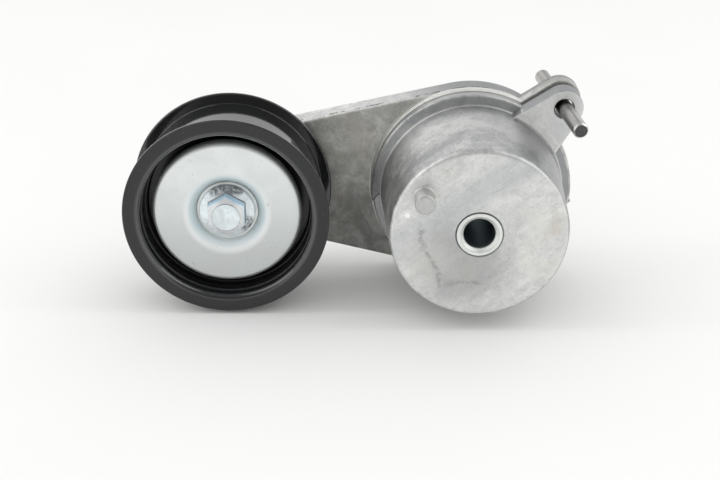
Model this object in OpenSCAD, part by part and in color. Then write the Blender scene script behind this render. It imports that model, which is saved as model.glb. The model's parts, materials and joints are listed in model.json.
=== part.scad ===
// Belt tensioner with a flanged idler pulley. A cast base drum holds a torsion spring, a cast
// arm swings on the drum's hub tube behind it, and a smooth pulley runs on a ball bearing at
// the arm's end. A lock pin through two lugs holds the arm wound for fitting.
// The pivot axis is the Y axis. The mounting face lies in the plane y = 0 and faces -Y.

/* [Pivot] */
// Outside diameter of the steel pivot sleeve
sleeve_d = 17.5; // [15:0.5:18.5]
// Bore of the pivot sleeve, for the mounting bolt
sleeve_bore = 12; // [8:0.5:13]
// Rounding of the sleeve's bore at the mounting face
sleeve_edge_r = 1.1; // [0.4:0.1:1.2]
// Wall of the plastic pivot bushes
bush_t = 1.8; // [1.4:0.1:2.2]
// Wall of the base's hub tube around the sleeve
hub_tube_t = 4; // [3:0.1:4.4]
// Wall of the arm's hub around the bushes
arm_hub_t = 4; // [3:0.1:4.4]

/* [Base housing] */
// Diameter of the drum at its mounting face
drum_front_d = 67.8; // [66:0.2:72]
// Diameter of the drum where it meets the flange
drum_rear_d = 72.8; // [72:0.2:75]
// Depth from the mounting face to the flange
drum_depth = 43; // [40:0.5:50]
// Wall of the drum
drum_wall = 4.6; // [4:0.1:5]
// Thickness of the drum's front wall
face_t = 6.5; // [5:0.5:8]
// Rounding of the drum's front edge
drum_edge_r = 2; // [0.6:0.1:2.4]
// Outside diameter of the flange
flange_d = 80.8; // [79:0.2:84]
// Slope of the flange's front face, measured along the axis
flange_slope = 1.8; // [1:0.1:2.5]
// Thickness of the flange at its edge
flange_t = 3.6; // [3:0.1:5]
// Height of the line, below the axis, where the flange's trimmed part begins
trim_drop = 7.5; // [4:0.5:12]
// Depth of the trimmed part of the flange
trim_depth = 0.5; // [0.3:0.1:0.8]

/* [Locating stub] */
// Diameter of the stub that locates the base
stub_d = 7.8; // [6:0.2:9]
// Length of the stub in front of the mounting face
stub_length = 8; // [5:0.5:12]
// Distance of the stub from the pivot axis
stub_pitch_r = 25.9; // [22:0.1:28]
// Angle of the stub around the pivot axis
stub_angle = 144; // [120:1:160]
// Rounding of the stub's end and of its foot
stub_edge_r = 0.9; // [0.4:0.1:1.2]

/* [Lock lugs] */
// Distance of the lock holes from the pivot axis
lug_pitch_r = 50.7; // [50:0.1:53]
// Angle of the lock holes around the pivot axis
lug_angle = 46.7; // [40:0.1:55]
// Diameter of the hole in the base lug
lug_hole_d = 7.6; // [7.2:0.1:8.4]
// Radius of the base lug's round end
lug_end_r = 7.5; // [6.5:0.1:8.5]
// Thickness of the base lug
lug_t = 7.1; // [6:0.1:7.6]
// Direction of the lug's upper side
lug_upper_angle = 32.8; // [30:0.1:36]
// Direction of the lug's lower side
lug_lower_angle = 59.4; // [56:0.1:63]
// Radius of the arm lug's round end
arm_lug_end_r = 8; // [7.5:0.1:9]
// Thickness of the arm lug
arm_lug_t = 8; // [6:0.1:9]

/* [Lock pin] */
// Diameter of the lock pin
pin_d = 6; // [5:0.1:6.2]
// Length of the lock pin ahead of the base lug's middle
pin_front = 25.9; // [20:0.1:40]
// Length of the lock pin behind the base lug's middle
pin_rear = 34; // [28:0.1:50]
// Lean of the pin's rear end towards the pulley, in degrees
pin_lean = 7.3; // [0:0.1:7.5]
// Rise of the pin's rear end, in degrees
pin_rise = 2.9; // [0:0.1:3]
// Chamfer of the pin's ends
pin_chamfer = 0.6; // [0.3:0.1:1]

/* [Arm] */
// Distance between the pivot axis and the pulley axis
arm_length = 96.7; // [90:0.5:120]
// Rise of the pulley axis above the pivot axis, in degrees
arm_rise = 0.24; // [0:0.01:1.5]
// Diameter of the arm's hub
arm_hub_d = 80.8; // [80:0.2:85]
// Diameter of the ring on the front of the arm's hub
arm_ring_d = 81.6; // [80:0.2:86]
// Diameter of the arm's pulley end
arm_end_d = 37; // [33:0.5:40]
// How far the middle of the arm's pulley end lies above the pulley axis
arm_end_lift = 1; // [0:0.1:1.4]
// Depth of the arm's edge
arm_depth = 11.1; // [9:0.1:15]
// Thickness of the arm's front web
arm_web_t = 4.5; // [3.5:0.1:6]
// Thickness of the arm's edge walls
arm_wall_t = 4; // [3:0.1:5]
// Thickness of the ribs behind the web
arm_rib_t = 3.5; // [2.5:0.1:4.5]
// Height of that ring above the web's front
arm_ring_h = 3.9; // [1:0.1:5]
// Gap between the base flange and the arm's ring
arm_gap = 0.6; // [0.4:0.1:1.2]
// Depth of the skirt and the hub that the arm puts into the drum
skirt_depth = 5; // [4:0.1:7]
// Wall of that skirt
skirt_t = 1.8; // [1.5:0.1:2]

/* [Pulley] */
// Diameter over the pulley's flanges
pulley_d = 80; // [78:0.2:84]
// Diameter of the smooth belt surface
belt_d = 71.4; // [68:0.2:73]
// Width over the pulley's flanges
pulley_w = 33.5; // [30:0.1:36]
// Gap between the pulley and the arm's web
pulley_gap = 5; // [3:0.1:6]
// Wall of the pulley's rim, hub and web
rim_t = 2.4; // [2:0.1:2.8]
// Thickness of the pulley's flanges
lip_t = 1.5; // [1.3:0.1:2.4]
// Radius of the corner between belt surface and flange
rim_root_r = 0.5; // [0.3:0.1:1.5]

/* [Bearing] */
// Bore of the ball bearing
bearing_bore = 17; // [15:0.5:17.5]
// Outside diameter of the ball bearing
bearing_od = 40; // [39:0.5:42]
// Width of the ball bearing
bearing_w = 12; // [11.5:0.5:14]
// Diameter of the balls
ball_d = 6.75; // [6:0.05:7]
// Number of balls
ball_count = 8; // [6:1:9]
// Distance of the bearing from the pulley's middle, towards the arm
bearing_shift = -0.65; // [-1:0.05:1]

/* [Dust covers] */
// Diameter of the front dust cover
cover_d = 58.2; // [50:0.2:60]
// Sheet thickness of the dust covers
cover_t = 0.9; // [0.7:0.1:1.1]
// How far the front cover's face stands in front of its seat
cover_rise = 4; // [3.2:0.1:6]
// Radius of the front cover's rolled edge
cover_edge_r = 2.6; // [2:0.1:3]
// Diameter where the front cover's dish begins
dish_d = 33; // [31:0.5:36]
// Diameter of the rear dust shield
shield_d = 48; // [44:0.5:54]

/* [Pulley bolt] */
// Diameter of the pulley bolt's shank
bolt_d = 10; // [8:0.5:10.5]
// Diameter of the bolt's flange
bolt_flange_d = 21.7; // [20:0.1:23]
// Thickness of the bolt's flange at its edge
bolt_flange_t = 1.3; // [1:0.1:1.6]
// Width across the flats of the bolt's hexagon
bolt_af = 14; // [12:0.5:15]
// Height of the bolt's head over its flange
bolt_head_h = 7.1; // [6:0.1:9]
// Diameter of the washer under the bolt's flange
washer_d = 24; // [23:0.1:25]
// Thickness of the washer
washer_t = 1.2; // [0.8:0.1:1.6]

/* [Torsion spring] */
// Diameter of the spring wire
wire_d = 5.4; // [4.5:0.1:5.5]
// Mean diameter of the spring
spring_d = 48.4; // [47:0.1:49]
// Number of turns
spring_turns = 5.25; // [4:0.25:5.25]

/* [Rear plate] */
// Diameter of the plate that keeps the arm on the sleeve
plate_d = 40; // [36:0.5:44]
// Thickness of that plate
plate_t = 3; // [2:0.1:4]
// Thickness of the thrust washer
thrust_t = 1; // [0.8:0.1:1.5]

/* [Clearances] */
// Radial clearance of a running fit
running_fit = 0.05; // [0.02:0.01:0.08]
// Clearance of a piece seated in its own body
seat_fit = 0.02; // [0.01:0.01:0.04]
// Gap between pieces that move past each other
free_gap = 0.3; // [0.2:0.05:0.4]
// Axial play of the arm between its thrust faces
thrust_play = 0.15; // [0.1:0.05:0.25]

/* [Hidden] */
$fn = 96;
eps = 0.01;
// How far a cut reaches past the face that it opens
over = 1;
// How far straight sides lie inside the circles that they join, so that they cross them cleanly
tuck = 0.05;

// Radii on the pivot axis
sleeve_r = sleeve_d / 2;
hub_tube_r = sleeve_r + seat_fit + hub_tube_t;
bush_r = hub_tube_r + running_fit + bush_t;
arm_boss_r = bush_r + arm_hub_t;
drum_front_r = drum_front_d / 2;
drum_rear_r = drum_rear_d / 2;
drum_taper = (drum_rear_r - drum_front_r) / drum_depth;
drum_edge_at = drum_front_r + drum_taper * drum_edge_r + 2 * eps;
flange_r = flange_d / 2;
land_r = drum_rear_r - drum_wall;
cavity_front_r = drum_front_r - drum_wall;
damper_t = 2;
damper_edge_r = 0.6;
land_step = 0.6;
skirt_r = land_r - running_fit - damper_t - seat_fit;
arm_hub_r = arm_hub_d / 2;
arm_ring_r = arm_ring_d / 2;
arm_ring_bite = 0.5;
arm_end_r = arm_end_d / 2;

// Stations along the pivot axis, from the mounting face to the rear
seat_chamfer = 0.8;
flange_front_y = drum_depth + flange_slope;
flange_rear_y = flange_front_y + flange_t;
arm_ring_y = flange_rear_y + arm_gap;
arm_face_y = arm_ring_y + arm_ring_h;
web_rear_y = arm_face_y + arm_web_t;
arm_rear_y = arm_face_y + arm_depth;
hub_front_y = arm_ring_y - skirt_depth;
land_y = hub_front_y - free_gap;
bush_flange_t = 1.2;
thrust_y = arm_rear_y + bush_flange_t + thrust_play;
plate_y = thrust_y + thrust_t;
sleeve_rear_y = plate_y + plate_t;
sleeve_lip_h = 1.2;
sleeve_lip_t = 1.5;
sleeve_lip_r = 0.9;
bush_share = 0.45;
bush_length = bush_share * (arm_rear_y - hub_front_y);
plate_edge_r = 1;
rib_count = 6;

// Lugs and lock pin
lug_x = lug_pitch_r * cos(lug_angle);
lug_z = lug_pitch_r * sin(lug_angle);
lug_front_y = flange_front_y - lug_t;
lug_mid_y = flange_front_y - lug_t / 2;
lug_root = lug_pitch_r * 0.62;
lug_bite = 1;
arm_lug_bite = 3;
trim_root = 0.8;
pin_r = pin_d / 2;
pin_slope_x = -tan(pin_lean);
pin_slope_z = tan(pin_rise) / cos(pin_lean);
function pin_at(y) = [
    lug_x + pin_slope_x * (y - lug_mid_y),
    lug_z + pin_slope_z * (y - lug_mid_y)
];
hook_in = pin_at(arm_ring_y);
hook_out = pin_at(arm_ring_y + arm_lug_t);
hook_r = (norm(hook_in) + norm(hook_out)) / 2;
hook_play = 0.45;
hook_half_w = pin_r + abs(norm(hook_in) - norm(hook_out)) / 2 + hook_play;
hook_angle = atan2(hook_out[1], hook_out[0]);
hook_sweep = 24;

// Pulley and its stack on the arm, from front to rear
pulley_x = -arm_length * cos(arm_rise);
pulley_z = arm_length * sin(arm_rise);
arm_end = [pulley_x, pulley_z + arm_end_lift];
arm_span = norm(arm_end);
arm_end_rise = atan2(arm_end[1], -arm_end[0]);
pulley_r = pulley_d / 2;
belt_r = belt_d / 2;
pulley_rear_y = arm_face_y - pulley_gap;
pulley_front_y = pulley_rear_y - pulley_w;
pulley_mid_y = (pulley_front_y + pulley_rear_y) / 2;
bearing_r = bearing_od / 2;
race_bore_r = bearing_bore / 2;
bearing_front_y = pulley_mid_y + bearing_shift - bearing_w / 2;
bearing_rear_y = bearing_front_y + bearing_w;
bearing_mid_y = (bearing_front_y + bearing_rear_y) / 2;
ball_pitch_r = (bearing_r + race_bore_r) / 2;
ball_r = ball_d / 2;
groove_r = ball_r + running_fit;
groove_share = 0.84;
land_inner_r = ball_pitch_r - ball_r * groove_share;
land_outer_r = ball_pitch_r + ball_r * groove_share;
cage_share = 0.4;
cage_side_t = 0.8;
cage_play = 0.15;
seal_t = 0.8;
seal_inset = 0.4;
seal_seat = 0.6;
cover_seat_y = bearing_front_y - cover_t;
washer_y = cover_seat_y - washer_t;
bolt_r = bolt_d / 2;
bolt_hole_r = bolt_r + free_gap;
spacer_shoulder_r = washer_d / 2;
spacer_shoulder_y = bearing_rear_y + cover_t;
end_boss_inset = 2.5;
end_boss_y = pulley_rear_y - end_boss_inset;
end_boss_r = 13.5;
rear_boss_r = arm_end_r - arm_wall_t + 1.5;
bolt_tip_inset = 2;
bolt_tip_y = arm_rear_y - bolt_tip_inset;
bolt_cone_h = 0.9;
hex_top_r = bolt_af / 2 - 1.6;
hex_chamfer_slope = 0.6;
lip_edge_r = 0.6;
rim_inner_r = 0.9;
web_root_r = 1.6;
shell_step_t = 1.2;
shell_step_w = 5;
sheet_margin = 0.6;
cover_skirt = 1.8;

// Spring
wire_r = wire_d / 2;
spring_r = spring_d / 2;
spring_y0 = face_t + seat_fit + wire_r;
spring_bush_t = 1.5;
spring_bush_wall = 2;
spring_stop_t = 5;
spring_y1 = arm_ring_y - spring_bush_t - free_gap - wire_r;
spring_pitch = (spring_y1 - spring_y0) / spring_turns;
spring_sides = 6;
spring_rings = 24;
echo(spring_turn_gap = spring_pitch * cos(atan(spring_pitch / (PI * spring_d))) - wire_d);

// Revolves an outline about the pivot axis: its x is a radius and its y lies along +Y
module turned() rotate([-90, 0, 0]) rotate_extrude() children();

// The same about the pulley axis
module turned_at_pulley() translate([pulley_x, 0, pulley_z]) turned() children();

// Extrudes an outline drawn in X and Z from y0 to y1
module plan(y0, y1)
    translate([0, y0, 0]) rotate([90, 0, 0]) mirror([0, 0, 1]) linear_extrude(y1 - y0) children();

// Straight-sided ring section between two radii and two stations
module band(r0, r1, y0, y1) translate([r0, y0]) square([r1 - r0, y1 - y0]);

// The piece to take off a square corner at the origin, inside the first quadrant, to round it
module corner_off(r)
    difference() {
        translate([-over, -over]) square(r + over);
        translate([r, r]) circle(r);
    }

// The piece to fill an inner corner at the origin with a fillet, inside the first quadrant
module corner_fill(r)
    difference() {
        translate([-eps, -eps]) square(r + eps);
        translate([r, r]) circle(r + eps / 2);
    }

// A round end joined to the drum by two straight sides that touch it
module lug_outline(end_r) {
    upper = [-sin(lug_upper_angle), cos(lug_upper_angle)];
    lower = [sin(lug_lower_angle), -cos(lug_lower_angle)];
    along_upper = [cos(lug_upper_angle), sin(lug_upper_angle)];
    along_lower = [cos(lug_lower_angle), sin(lug_lower_angle)];
    centre = [lug_x, lug_z];
    translate(centre) circle(end_r);
    side_r = end_r - tuck;
    polygon([
        centre + side_r * upper,
        centre + side_r * upper - lug_root * along_upper,
        centre + side_r * lower - lug_root * along_lower,
        centre + side_r * lower
    ]);
}

// Two circles, at the pivot and at the arm's end, with straight sides that touch both
module arm_outline(hub_r, end_r) {
    lean = asin((hub_r - end_r) / arm_span);
    up = 90 - arm_end_rise + lean;
    down = 270 - arm_end_rise - lean;
    circle(hub_r);
    translate(arm_end) circle(end_r);
    polygon([
        (hub_r - tuck) * [cos(up), sin(up)],
        arm_end + (end_r - tuck) * [cos(up), sin(up)],
        arm_end + (end_r - tuck) * [cos(down), sin(down)],
        (hub_r - tuck) * [cos(down), sin(down)]
    ]);
}

// The block that one cut end of the spring bears on, ahead of or behind that end
module spring_stop(turn, side, y0, y1, grow = 0) {
    away = side > 0 ? seat_fit : -seat_fit - spring_stop_t;
    rotate([0, 360 * turn, 0]) translate([spring_r - wire_r - grow, y0, away - grow])
        cube([wire_d + 2 * grow, y1 - y0, spring_stop_t + 2 * grow]);
}

// Half plane, as a wide box, below the trim line
module below_trim() {
    reach = 2 * flange_r;
    translate([-reach, 0, -trim_drop - 2 * reach]) cube([2 * reach, 2 * reach, 2 * reach]);
}

module base_housing() color("#b4b6b6")
    difference() {
        union() {
            turned() difference() {
                polygon([
                    [sleeve_r + seat_fit, 0],
                    [drum_front_r, 0],
                    [drum_rear_r, drum_depth],
                    [flange_r, flange_front_y],
                    [flange_r, flange_rear_y],
                    [land_r, flange_rear_y],
                    [land_r, land_y],
                    [land_r - land_step, land_y],
                    [cavity_front_r, face_t],
                    [hub_tube_r, face_t],
                    [hub_tube_r, plate_y],
                    [sleeve_r + seat_fit, plate_y]
                ]);
                translate([drum_edge_at, 0]) mirror([1, 0]) corner_off(drum_edge_r);
                translate([sleeve_r, 0]) rotate(-45) square(seat_chamfer, center = true);
            }
            spring_stop(0, 1, face_t - eps, face_t + wire_d);
            plan(lug_front_y, flange_front_y) difference() {
                lug_outline(lug_end_r);
                circle(drum_rear_r - lug_bite);
            }
            translate([stub_pitch_r * cos(stub_angle), 0, stub_pitch_r * sin(stub_angle)])
                turned() difference() {
                    union() {
                        band(0, stub_d / 2, -stub_length, face_t / 2);
                        translate([stub_d / 2, 0]) mirror([0, 1]) corner_fill(stub_edge_r);
                    }
                    translate([stub_d / 2, -stub_length]) mirror([1, 0]) corner_off(stub_edge_r);
                }
        }
        translate([lug_x, lug_mid_y, lug_z]) rotate([90, 0, 0])
            cylinder(d = lug_hole_d, h = 2 * lug_t, center = true);
        intersection() {
            turned() {
                band(flange_r - trim_depth, flange_r + over, drum_depth, flange_rear_y + over);
                band(drum_rear_r + trim_root, flange_r + over, drum_depth, flange_front_y + trim_depth);
            }
            below_trim();
        }
    }

module pivot_sleeve() color("#dfe3e6")
    turned() difference() {
        union() {
            band(sleeve_bore / 2, sleeve_r, 0, sleeve_rear_y);
            band(sleeve_bore / 2, sleeve_r + sleeve_lip_t, sleeve_rear_y, sleeve_rear_y + sleeve_lip_h);
        }
        translate([sleeve_bore / 2, 0]) corner_off(sleeve_edge_r);
        translate([sleeve_r + sleeve_lip_t, sleeve_rear_y + sleeve_lip_h])
            rotate(180) corner_off(sleeve_lip_r);
    }

// A ring of points round the wire, at one angle of the spring
function wire_ring(turn) = [
    for (k = [0 : spring_sides - 1])
        let (
            side = 360 * (k + 0.5) / spring_sides,
            out = spring_r + wire_r * cos(side),
            spin = -turn * 360
        )
        [out * cos(spin), spring_y0 + spring_pitch * turn + wire_r * sin(side), out * sin(spin)]
];

module torsion_spring() color("#5a5c60") {
    steps = round(spring_turns * spring_rings);
    points = [for (i = [0 : steps]) each wire_ring(spring_turns * i / steps)];
    side_faces = [
        for (i = [0 : steps - 1], k = [0 : spring_sides - 1])
            let (
                a = i * spring_sides + k,
                b = i * spring_sides + (k + 1) % spring_sides
            )
            each [[a, b + spring_sides, b], [a, a + spring_sides, b + spring_sides]]
    ];
    last = steps * spring_sides;
    start_cap = [for (k = [1 : spring_sides - 2]) [0, k, k + 1]];
    end_cap = [for (k = [1 : spring_sides - 2]) [last, last + k + 1, last + k]];
    polyhedron(points, concat(side_faces, start_cap, end_cap));
}

module spring_bush() color("#33363a")
    difference() {
        turned() {
            inner = arm_boss_r + seat_fit;
            band(inner, arm_boss_r + spring_bush_wall, hub_front_y, arm_ring_y);
            band(inner, spring_r + wire_r, arm_ring_y - spring_bush_t, arm_ring_y);
        }
        spring_stop(spring_turns, -1, arm_ring_y - 2 * spring_bush_t, arm_face_y, seat_fit);
    }

module damper_ring() color("#3b3a36")
    turned() difference() {
        band(skirt_r + seat_fit, land_r - running_fit, hub_front_y, arm_ring_y - free_gap);
        translate([land_r - running_fit, hub_front_y]) mirror([1, 0])
            corner_off(damper_edge_r);
    }

module front_pivot_bush() color("#d8d2c0")
    turned() band(hub_tube_r + running_fit, bush_r - seat_fit, hub_front_y, hub_front_y + bush_length);

module rear_pivot_bush() color("#d8d2c0")
    turned() {
        band(hub_tube_r + running_fit, bush_r - seat_fit, arm_rear_y - bush_length, arm_rear_y);
        band(hub_tube_r + running_fit, arm_boss_r, arm_rear_y, arm_rear_y + bush_flange_t);
    }

module thrust_washer() color("#9a9c9e")
    turned() band(hub_tube_r + seat_fit, arm_boss_r, thrust_y, plate_y);

module retaining_plate() color("#c9ced2")
    turned() difference() {
        band(sleeve_r + seat_fit, plate_d / 2, plate_y, sleeve_rear_y);
        translate([plate_d / 2, sleeve_rear_y]) rotate(180) corner_off(plate_edge_r);
    }

// The pockets behind the arm's web, left open to the rear
module arm_pockets()
    difference() {
        arm_outline(arm_hub_r - arm_wall_t, arm_end_r - arm_wall_t);
        circle(arm_boss_r);
        translate([pulley_x, pulley_z]) circle(rear_boss_r);
        for (k = [0 : rib_count - 1])
            rotate(180 - arm_rise + 360 * k / rib_count) translate([0, -arm_rib_t / 2])
                square([k == 0 ? arm_length : arm_hub_r, arm_rib_t]);
    }

// The way the lock pin leaves the arm's lug as the arm is wound further
module hook_slot() {
    difference() {
        circle(hook_r + hook_half_w);
        circle(hook_r - hook_half_w);
        rotate(hook_angle) translate([-2 * hook_r, 0]) square([4 * hook_r, 2 * hook_r]);
        rotate(hook_angle - hook_sweep) translate([-2 * hook_r, -2 * hook_r])
            square([4 * hook_r, 2 * hook_r]);
    }
    translate(hook_r * [cos(hook_angle), sin(hook_angle)]) circle(hook_half_w);
}

module tensioner_arm() color("#9c9e9a")
    difference() {
        union() {
            plan(arm_face_y, arm_rear_y) arm_outline(arm_hub_r, arm_end_r);
            turned() {
                band(0, arm_ring_r, arm_ring_y, arm_face_y + arm_ring_bite);
                band(0, arm_boss_r, hub_front_y, arm_rear_y);
                band(skirt_r - skirt_t, skirt_r, hub_front_y, arm_ring_y);
            }
            spring_stop(spring_turns, -1, spring_y1 - wire_r, arm_face_y);
            turned_at_pulley() band(0, end_boss_r, end_boss_y, arm_face_y);
            plan(arm_ring_y, arm_ring_y + arm_lug_t) difference() {
                lug_outline(arm_lug_end_r);
                circle(arm_hub_r - arm_lug_bite);
            }
        }
        turned() band(0, bush_r, 0, arm_rear_y + over);
        plan(web_rear_y, arm_rear_y + over) arm_pockets();
        turned_at_pulley() band(0, bolt_r + seat_fit, 0, arm_rear_y + over);
        plan(arm_ring_y - over, arm_ring_y + arm_lug_t + over) hook_slot();
    }

// Section of the pulley, with its front flange at y = 0
module shell_section() {
    inner = belt_r - rim_t;
    hub = bearing_r + rim_t;
    web_y = pulley_w / 2;
    difference() {
        union() {
            band(inner, belt_r, 0, pulley_w);
            band(inner, pulley_r, 0, lip_t);
            band(inner, pulley_r, pulley_w - lip_t, pulley_w);
            translate([belt_r, lip_t]) corner_fill(rim_root_r);
            translate([belt_r, pulley_w - lip_t]) mirror([0, 1]) corner_fill(rim_root_r);
            band(bearing_r, inner + eps, web_y, web_y + rim_t);
            translate([0, bearing_front_y - pulley_front_y]) band(bearing_r, hub, 0, bearing_w - free_gap);
            band(inner - shell_step_t, inner + eps, web_y - shell_step_w, web_y + eps);
            translate([hub, web_y]) mirror([0, 1]) corner_fill(web_root_r);
            translate([inner, web_y + rim_t]) mirror([1, 0]) corner_fill(web_root_r);
        }
        translate([inner, 0]) corner_off(rim_inner_r);
        translate([inner, pulley_w]) mirror([0, 1]) corner_off(rim_inner_r);
        for (y = [0, pulley_w - lip_t]) {
            translate([pulley_r, y]) mirror([1, 0]) corner_off(lip_edge_r);
            translate([pulley_r, y + lip_t]) rotate(180) corner_off(lip_edge_r);
        }
    }
}

module pulley_shell() color("#1b1c1e")
    turned_at_pulley() translate([0, pulley_front_y]) shell_section();

module bearing_outer_race() color("#a9adb2")
    turned_at_pulley() difference() {
        band(land_outer_r, bearing_r - seat_fit, bearing_front_y, bearing_rear_y);
        translate([ball_pitch_r, bearing_mid_y]) circle(groove_r);
        for (side = [-1, 1])
            translate([land_outer_r, bearing_mid_y + side * bearing_w / 2])
                square([2 * seal_seat, 2 * (seal_t + seal_inset)], center = true);
    }

module bearing_inner_race() color("#a9adb2")
    turned_at_pulley() difference() {
        band(race_bore_r + seat_fit, land_inner_r, bearing_front_y, bearing_rear_y);
        translate([ball_pitch_r, bearing_mid_y]) circle(groove_r);
    }

// Places children at every ball, turned so that +X points away from the pulley axis
module at_balls()
    translate([pulley_x, bearing_mid_y, pulley_z])
        for (k = [0 : ball_count - 1])
            rotate([0, 360 * k / ball_count, 0]) translate([ball_pitch_r, 0, 0]) children();

module bearing_balls() color("#d5d8da") at_balls() sphere(ball_r);

module bearing_cage() color("#7c6a4a")
    difference() {
        turned_at_pulley()
            band(
                ball_pitch_r - ball_r * cage_share, ball_pitch_r + ball_r * cage_share,
                bearing_mid_y - ball_r - cage_side_t, bearing_mid_y + ball_r + cage_side_t
            );
        at_balls() rotate([0, 90, 0]) cylinder(r = ball_r + cage_play, h = 2 * ball_r, center = true);
    }

module seal_section() band(land_inner_r + running_fit, land_outer_r + seal_seat - seat_fit, 0, seal_t);

module front_bearing_seal() color("#2a2320")
    turned_at_pulley() translate([0, bearing_front_y + seal_inset]) seal_section();

module rear_bearing_seal() color("#2a2320")
    turned_at_pulley() translate([0, bearing_rear_y - seal_inset - seal_t]) seal_section();

// Depth of the cover's outer surface, behind its face, at a radius
dish_r = dish_d / 2;
cover_r = cover_d / 2;
seat_r = washer_d / 2 + sheet_margin;
function smooth(t) = t * t * (3 - 2 * t);
function cover_depth(r) =
    r < seat_r ? cover_rise
    : r < dish_r ? cover_rise * (1 - smooth((r - seat_r) / (dish_r - seat_r)))
    : r < cover_r - cover_edge_r ? 0
    : cover_edge_r - sqrt(pow(cover_edge_r, 2) - pow(r - cover_r + cover_edge_r, 2));

module front_dust_cover() color("#cdd6d8") {
    dish_steps = 10;
    edge_steps = 8;
    inner_edge_r = cover_edge_r - cover_t;
    bend_r = cover_r - cover_edge_r;
    front = concat(
        [[bolt_hole_r, cover_depth(bolt_hole_r)]],
        [for (i = [0 : dish_steps]) let (r = seat_r + (dish_r - seat_r) * i / dish_steps)
            [r, cover_depth(r)]],
        [for (i = [0 : edge_steps]) let (a = 90 * i / edge_steps)
            [bend_r + cover_edge_r * sin(a), cover_edge_r * (1 - cos(a))]],
        [[cover_r, cover_edge_r + cover_skirt]]
    );
    back = concat(
        [[cover_r - cover_t, cover_edge_r + cover_skirt]],
        [for (i = [edge_steps : -1 : 0]) let (a = 90 * i / edge_steps)
            [bend_r + inner_edge_r * sin(a), cover_edge_r - inner_edge_r * cos(a)]],
        [for (i = [dish_steps : -1 : 0]) let (r = seat_r + (dish_r - seat_r) * i / dish_steps)
            [r, cover_depth(r) + cover_t]],
        [[bolt_hole_r, cover_rise + cover_t]]
    );
    turned_at_pulley() translate([0, cover_seat_y - cover_rise]) polygon(concat(front, back));
}

module rear_dust_shield() color("#b9bec2") {
    step_r = spacer_shoulder_r + sheet_margin;
    turned_at_pulley() {
        band(race_bore_r + seat_fit, step_r + cover_t, bearing_rear_y, spacer_shoulder_y);
        band(step_r, step_r + cover_t, bearing_rear_y, spacer_shoulder_y + cover_t);
        band(step_r, shield_d / 2, spacer_shoulder_y, spacer_shoulder_y + cover_t);
    }
}

module pulley_spacer() color("#8f9397")
    turned_at_pulley() {
        band(bolt_hole_r, race_bore_r, bearing_front_y, spacer_shoulder_y + eps);
        band(bolt_hole_r, spacer_shoulder_r, spacer_shoulder_y, end_boss_y);
    }

module bolt_washer() color("#c3c8cc")
    turned_at_pulley() band(bolt_hole_r, washer_d / 2, washer_y, cover_seat_y);

module pulley_bolt() color("#d3dbe0") {
    hex_r = bolt_af / 2 / cos(30);
    flange_r = bolt_flange_d / 2;
    head_y = washer_y - bolt_head_h;
    turned_at_pulley() {
        band(0, bolt_r, washer_y - eps, bolt_tip_y);
        polygon([
            [0, washer_y], [flange_r, washer_y], [flange_r, washer_y - bolt_flange_t],
            [bolt_af / 2, washer_y - bolt_flange_t - bolt_cone_h], [0, washer_y - bolt_flange_t - bolt_cone_h]
        ]);
    }
    translate([pulley_x, 0, pulley_z]) intersection() {
        plan(head_y, washer_y) rotate(90) circle(hex_r, $fn = 6);
        turned() polygon([
            [0, head_y], [hex_top_r, head_y],
            [hex_r + over, head_y + hex_chamfer_slope * (hex_r + over - hex_top_r)],
            [hex_r + over, washer_y], [0, washer_y]
        ]);
    }
}

module lock_pin() color("#a7a8a6") {
    length = pin_front + pin_rear;
    translate([lug_x, lug_mid_y, lug_z])
        rotate([pin_rise, 0, pin_lean]) turned()
            translate([0, -pin_front]) polygon([
                [0, 0], [pin_r - pin_chamfer, 0], [pin_r, pin_chamfer],
                [pin_r, length - pin_chamfer], [pin_r - pin_chamfer, length], [0, length]
            ]);
}

base_housing();
pivot_sleeve();
torsion_spring();
spring_bush();
damper_ring();
front_pivot_bush();
rear_pivot_bush();
thrust_washer();
retaining_plate();
tensioner_arm();
pulley_shell();
bearing_outer_race();
bearing_inner_race();
bearing_balls();
bearing_cage();
front_bearing_seal();
rear_bearing_seal();
front_dust_cover();
rear_dust_shield();
pulley_spacer();
bolt_washer();
pulley_bolt();
lock_pin();
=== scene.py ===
"""Finished look of a belt tensioner, built around its solid model.

The pivot axis is the Y axis, the mounting face lies in the plane y = 0 and faces -Y, and Z is up.
All lengths are in metres.
"""

import json
import math

import bmesh
import bpy
from bpy.props import FloatProperty, FloatVectorProperty, IntProperty, PointerProperty
from mathutils import Matrix, Vector


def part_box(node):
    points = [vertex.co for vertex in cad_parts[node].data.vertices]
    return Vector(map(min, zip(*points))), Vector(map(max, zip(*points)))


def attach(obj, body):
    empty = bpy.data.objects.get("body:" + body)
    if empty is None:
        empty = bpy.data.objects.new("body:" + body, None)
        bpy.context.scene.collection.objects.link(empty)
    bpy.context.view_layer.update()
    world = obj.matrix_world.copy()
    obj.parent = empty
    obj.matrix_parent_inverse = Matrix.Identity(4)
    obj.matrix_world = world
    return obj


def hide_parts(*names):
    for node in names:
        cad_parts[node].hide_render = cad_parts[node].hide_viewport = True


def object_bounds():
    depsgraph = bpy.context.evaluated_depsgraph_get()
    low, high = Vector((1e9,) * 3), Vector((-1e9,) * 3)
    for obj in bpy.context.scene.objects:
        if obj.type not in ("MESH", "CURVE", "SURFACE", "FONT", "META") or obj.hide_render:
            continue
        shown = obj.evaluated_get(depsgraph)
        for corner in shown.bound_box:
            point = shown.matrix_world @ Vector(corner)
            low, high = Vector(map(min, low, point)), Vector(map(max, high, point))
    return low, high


bl_info = {
    "name": "Belt tensioner",
    "version": (1, 0, 0),
    "blender": (4, 5, 0),
    "location": "3D View > Sidebar > Tensioner",
    "description": "Builds the finished pieces of a belt tensioner around its solid model",
    "category": "Object",
}

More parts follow.
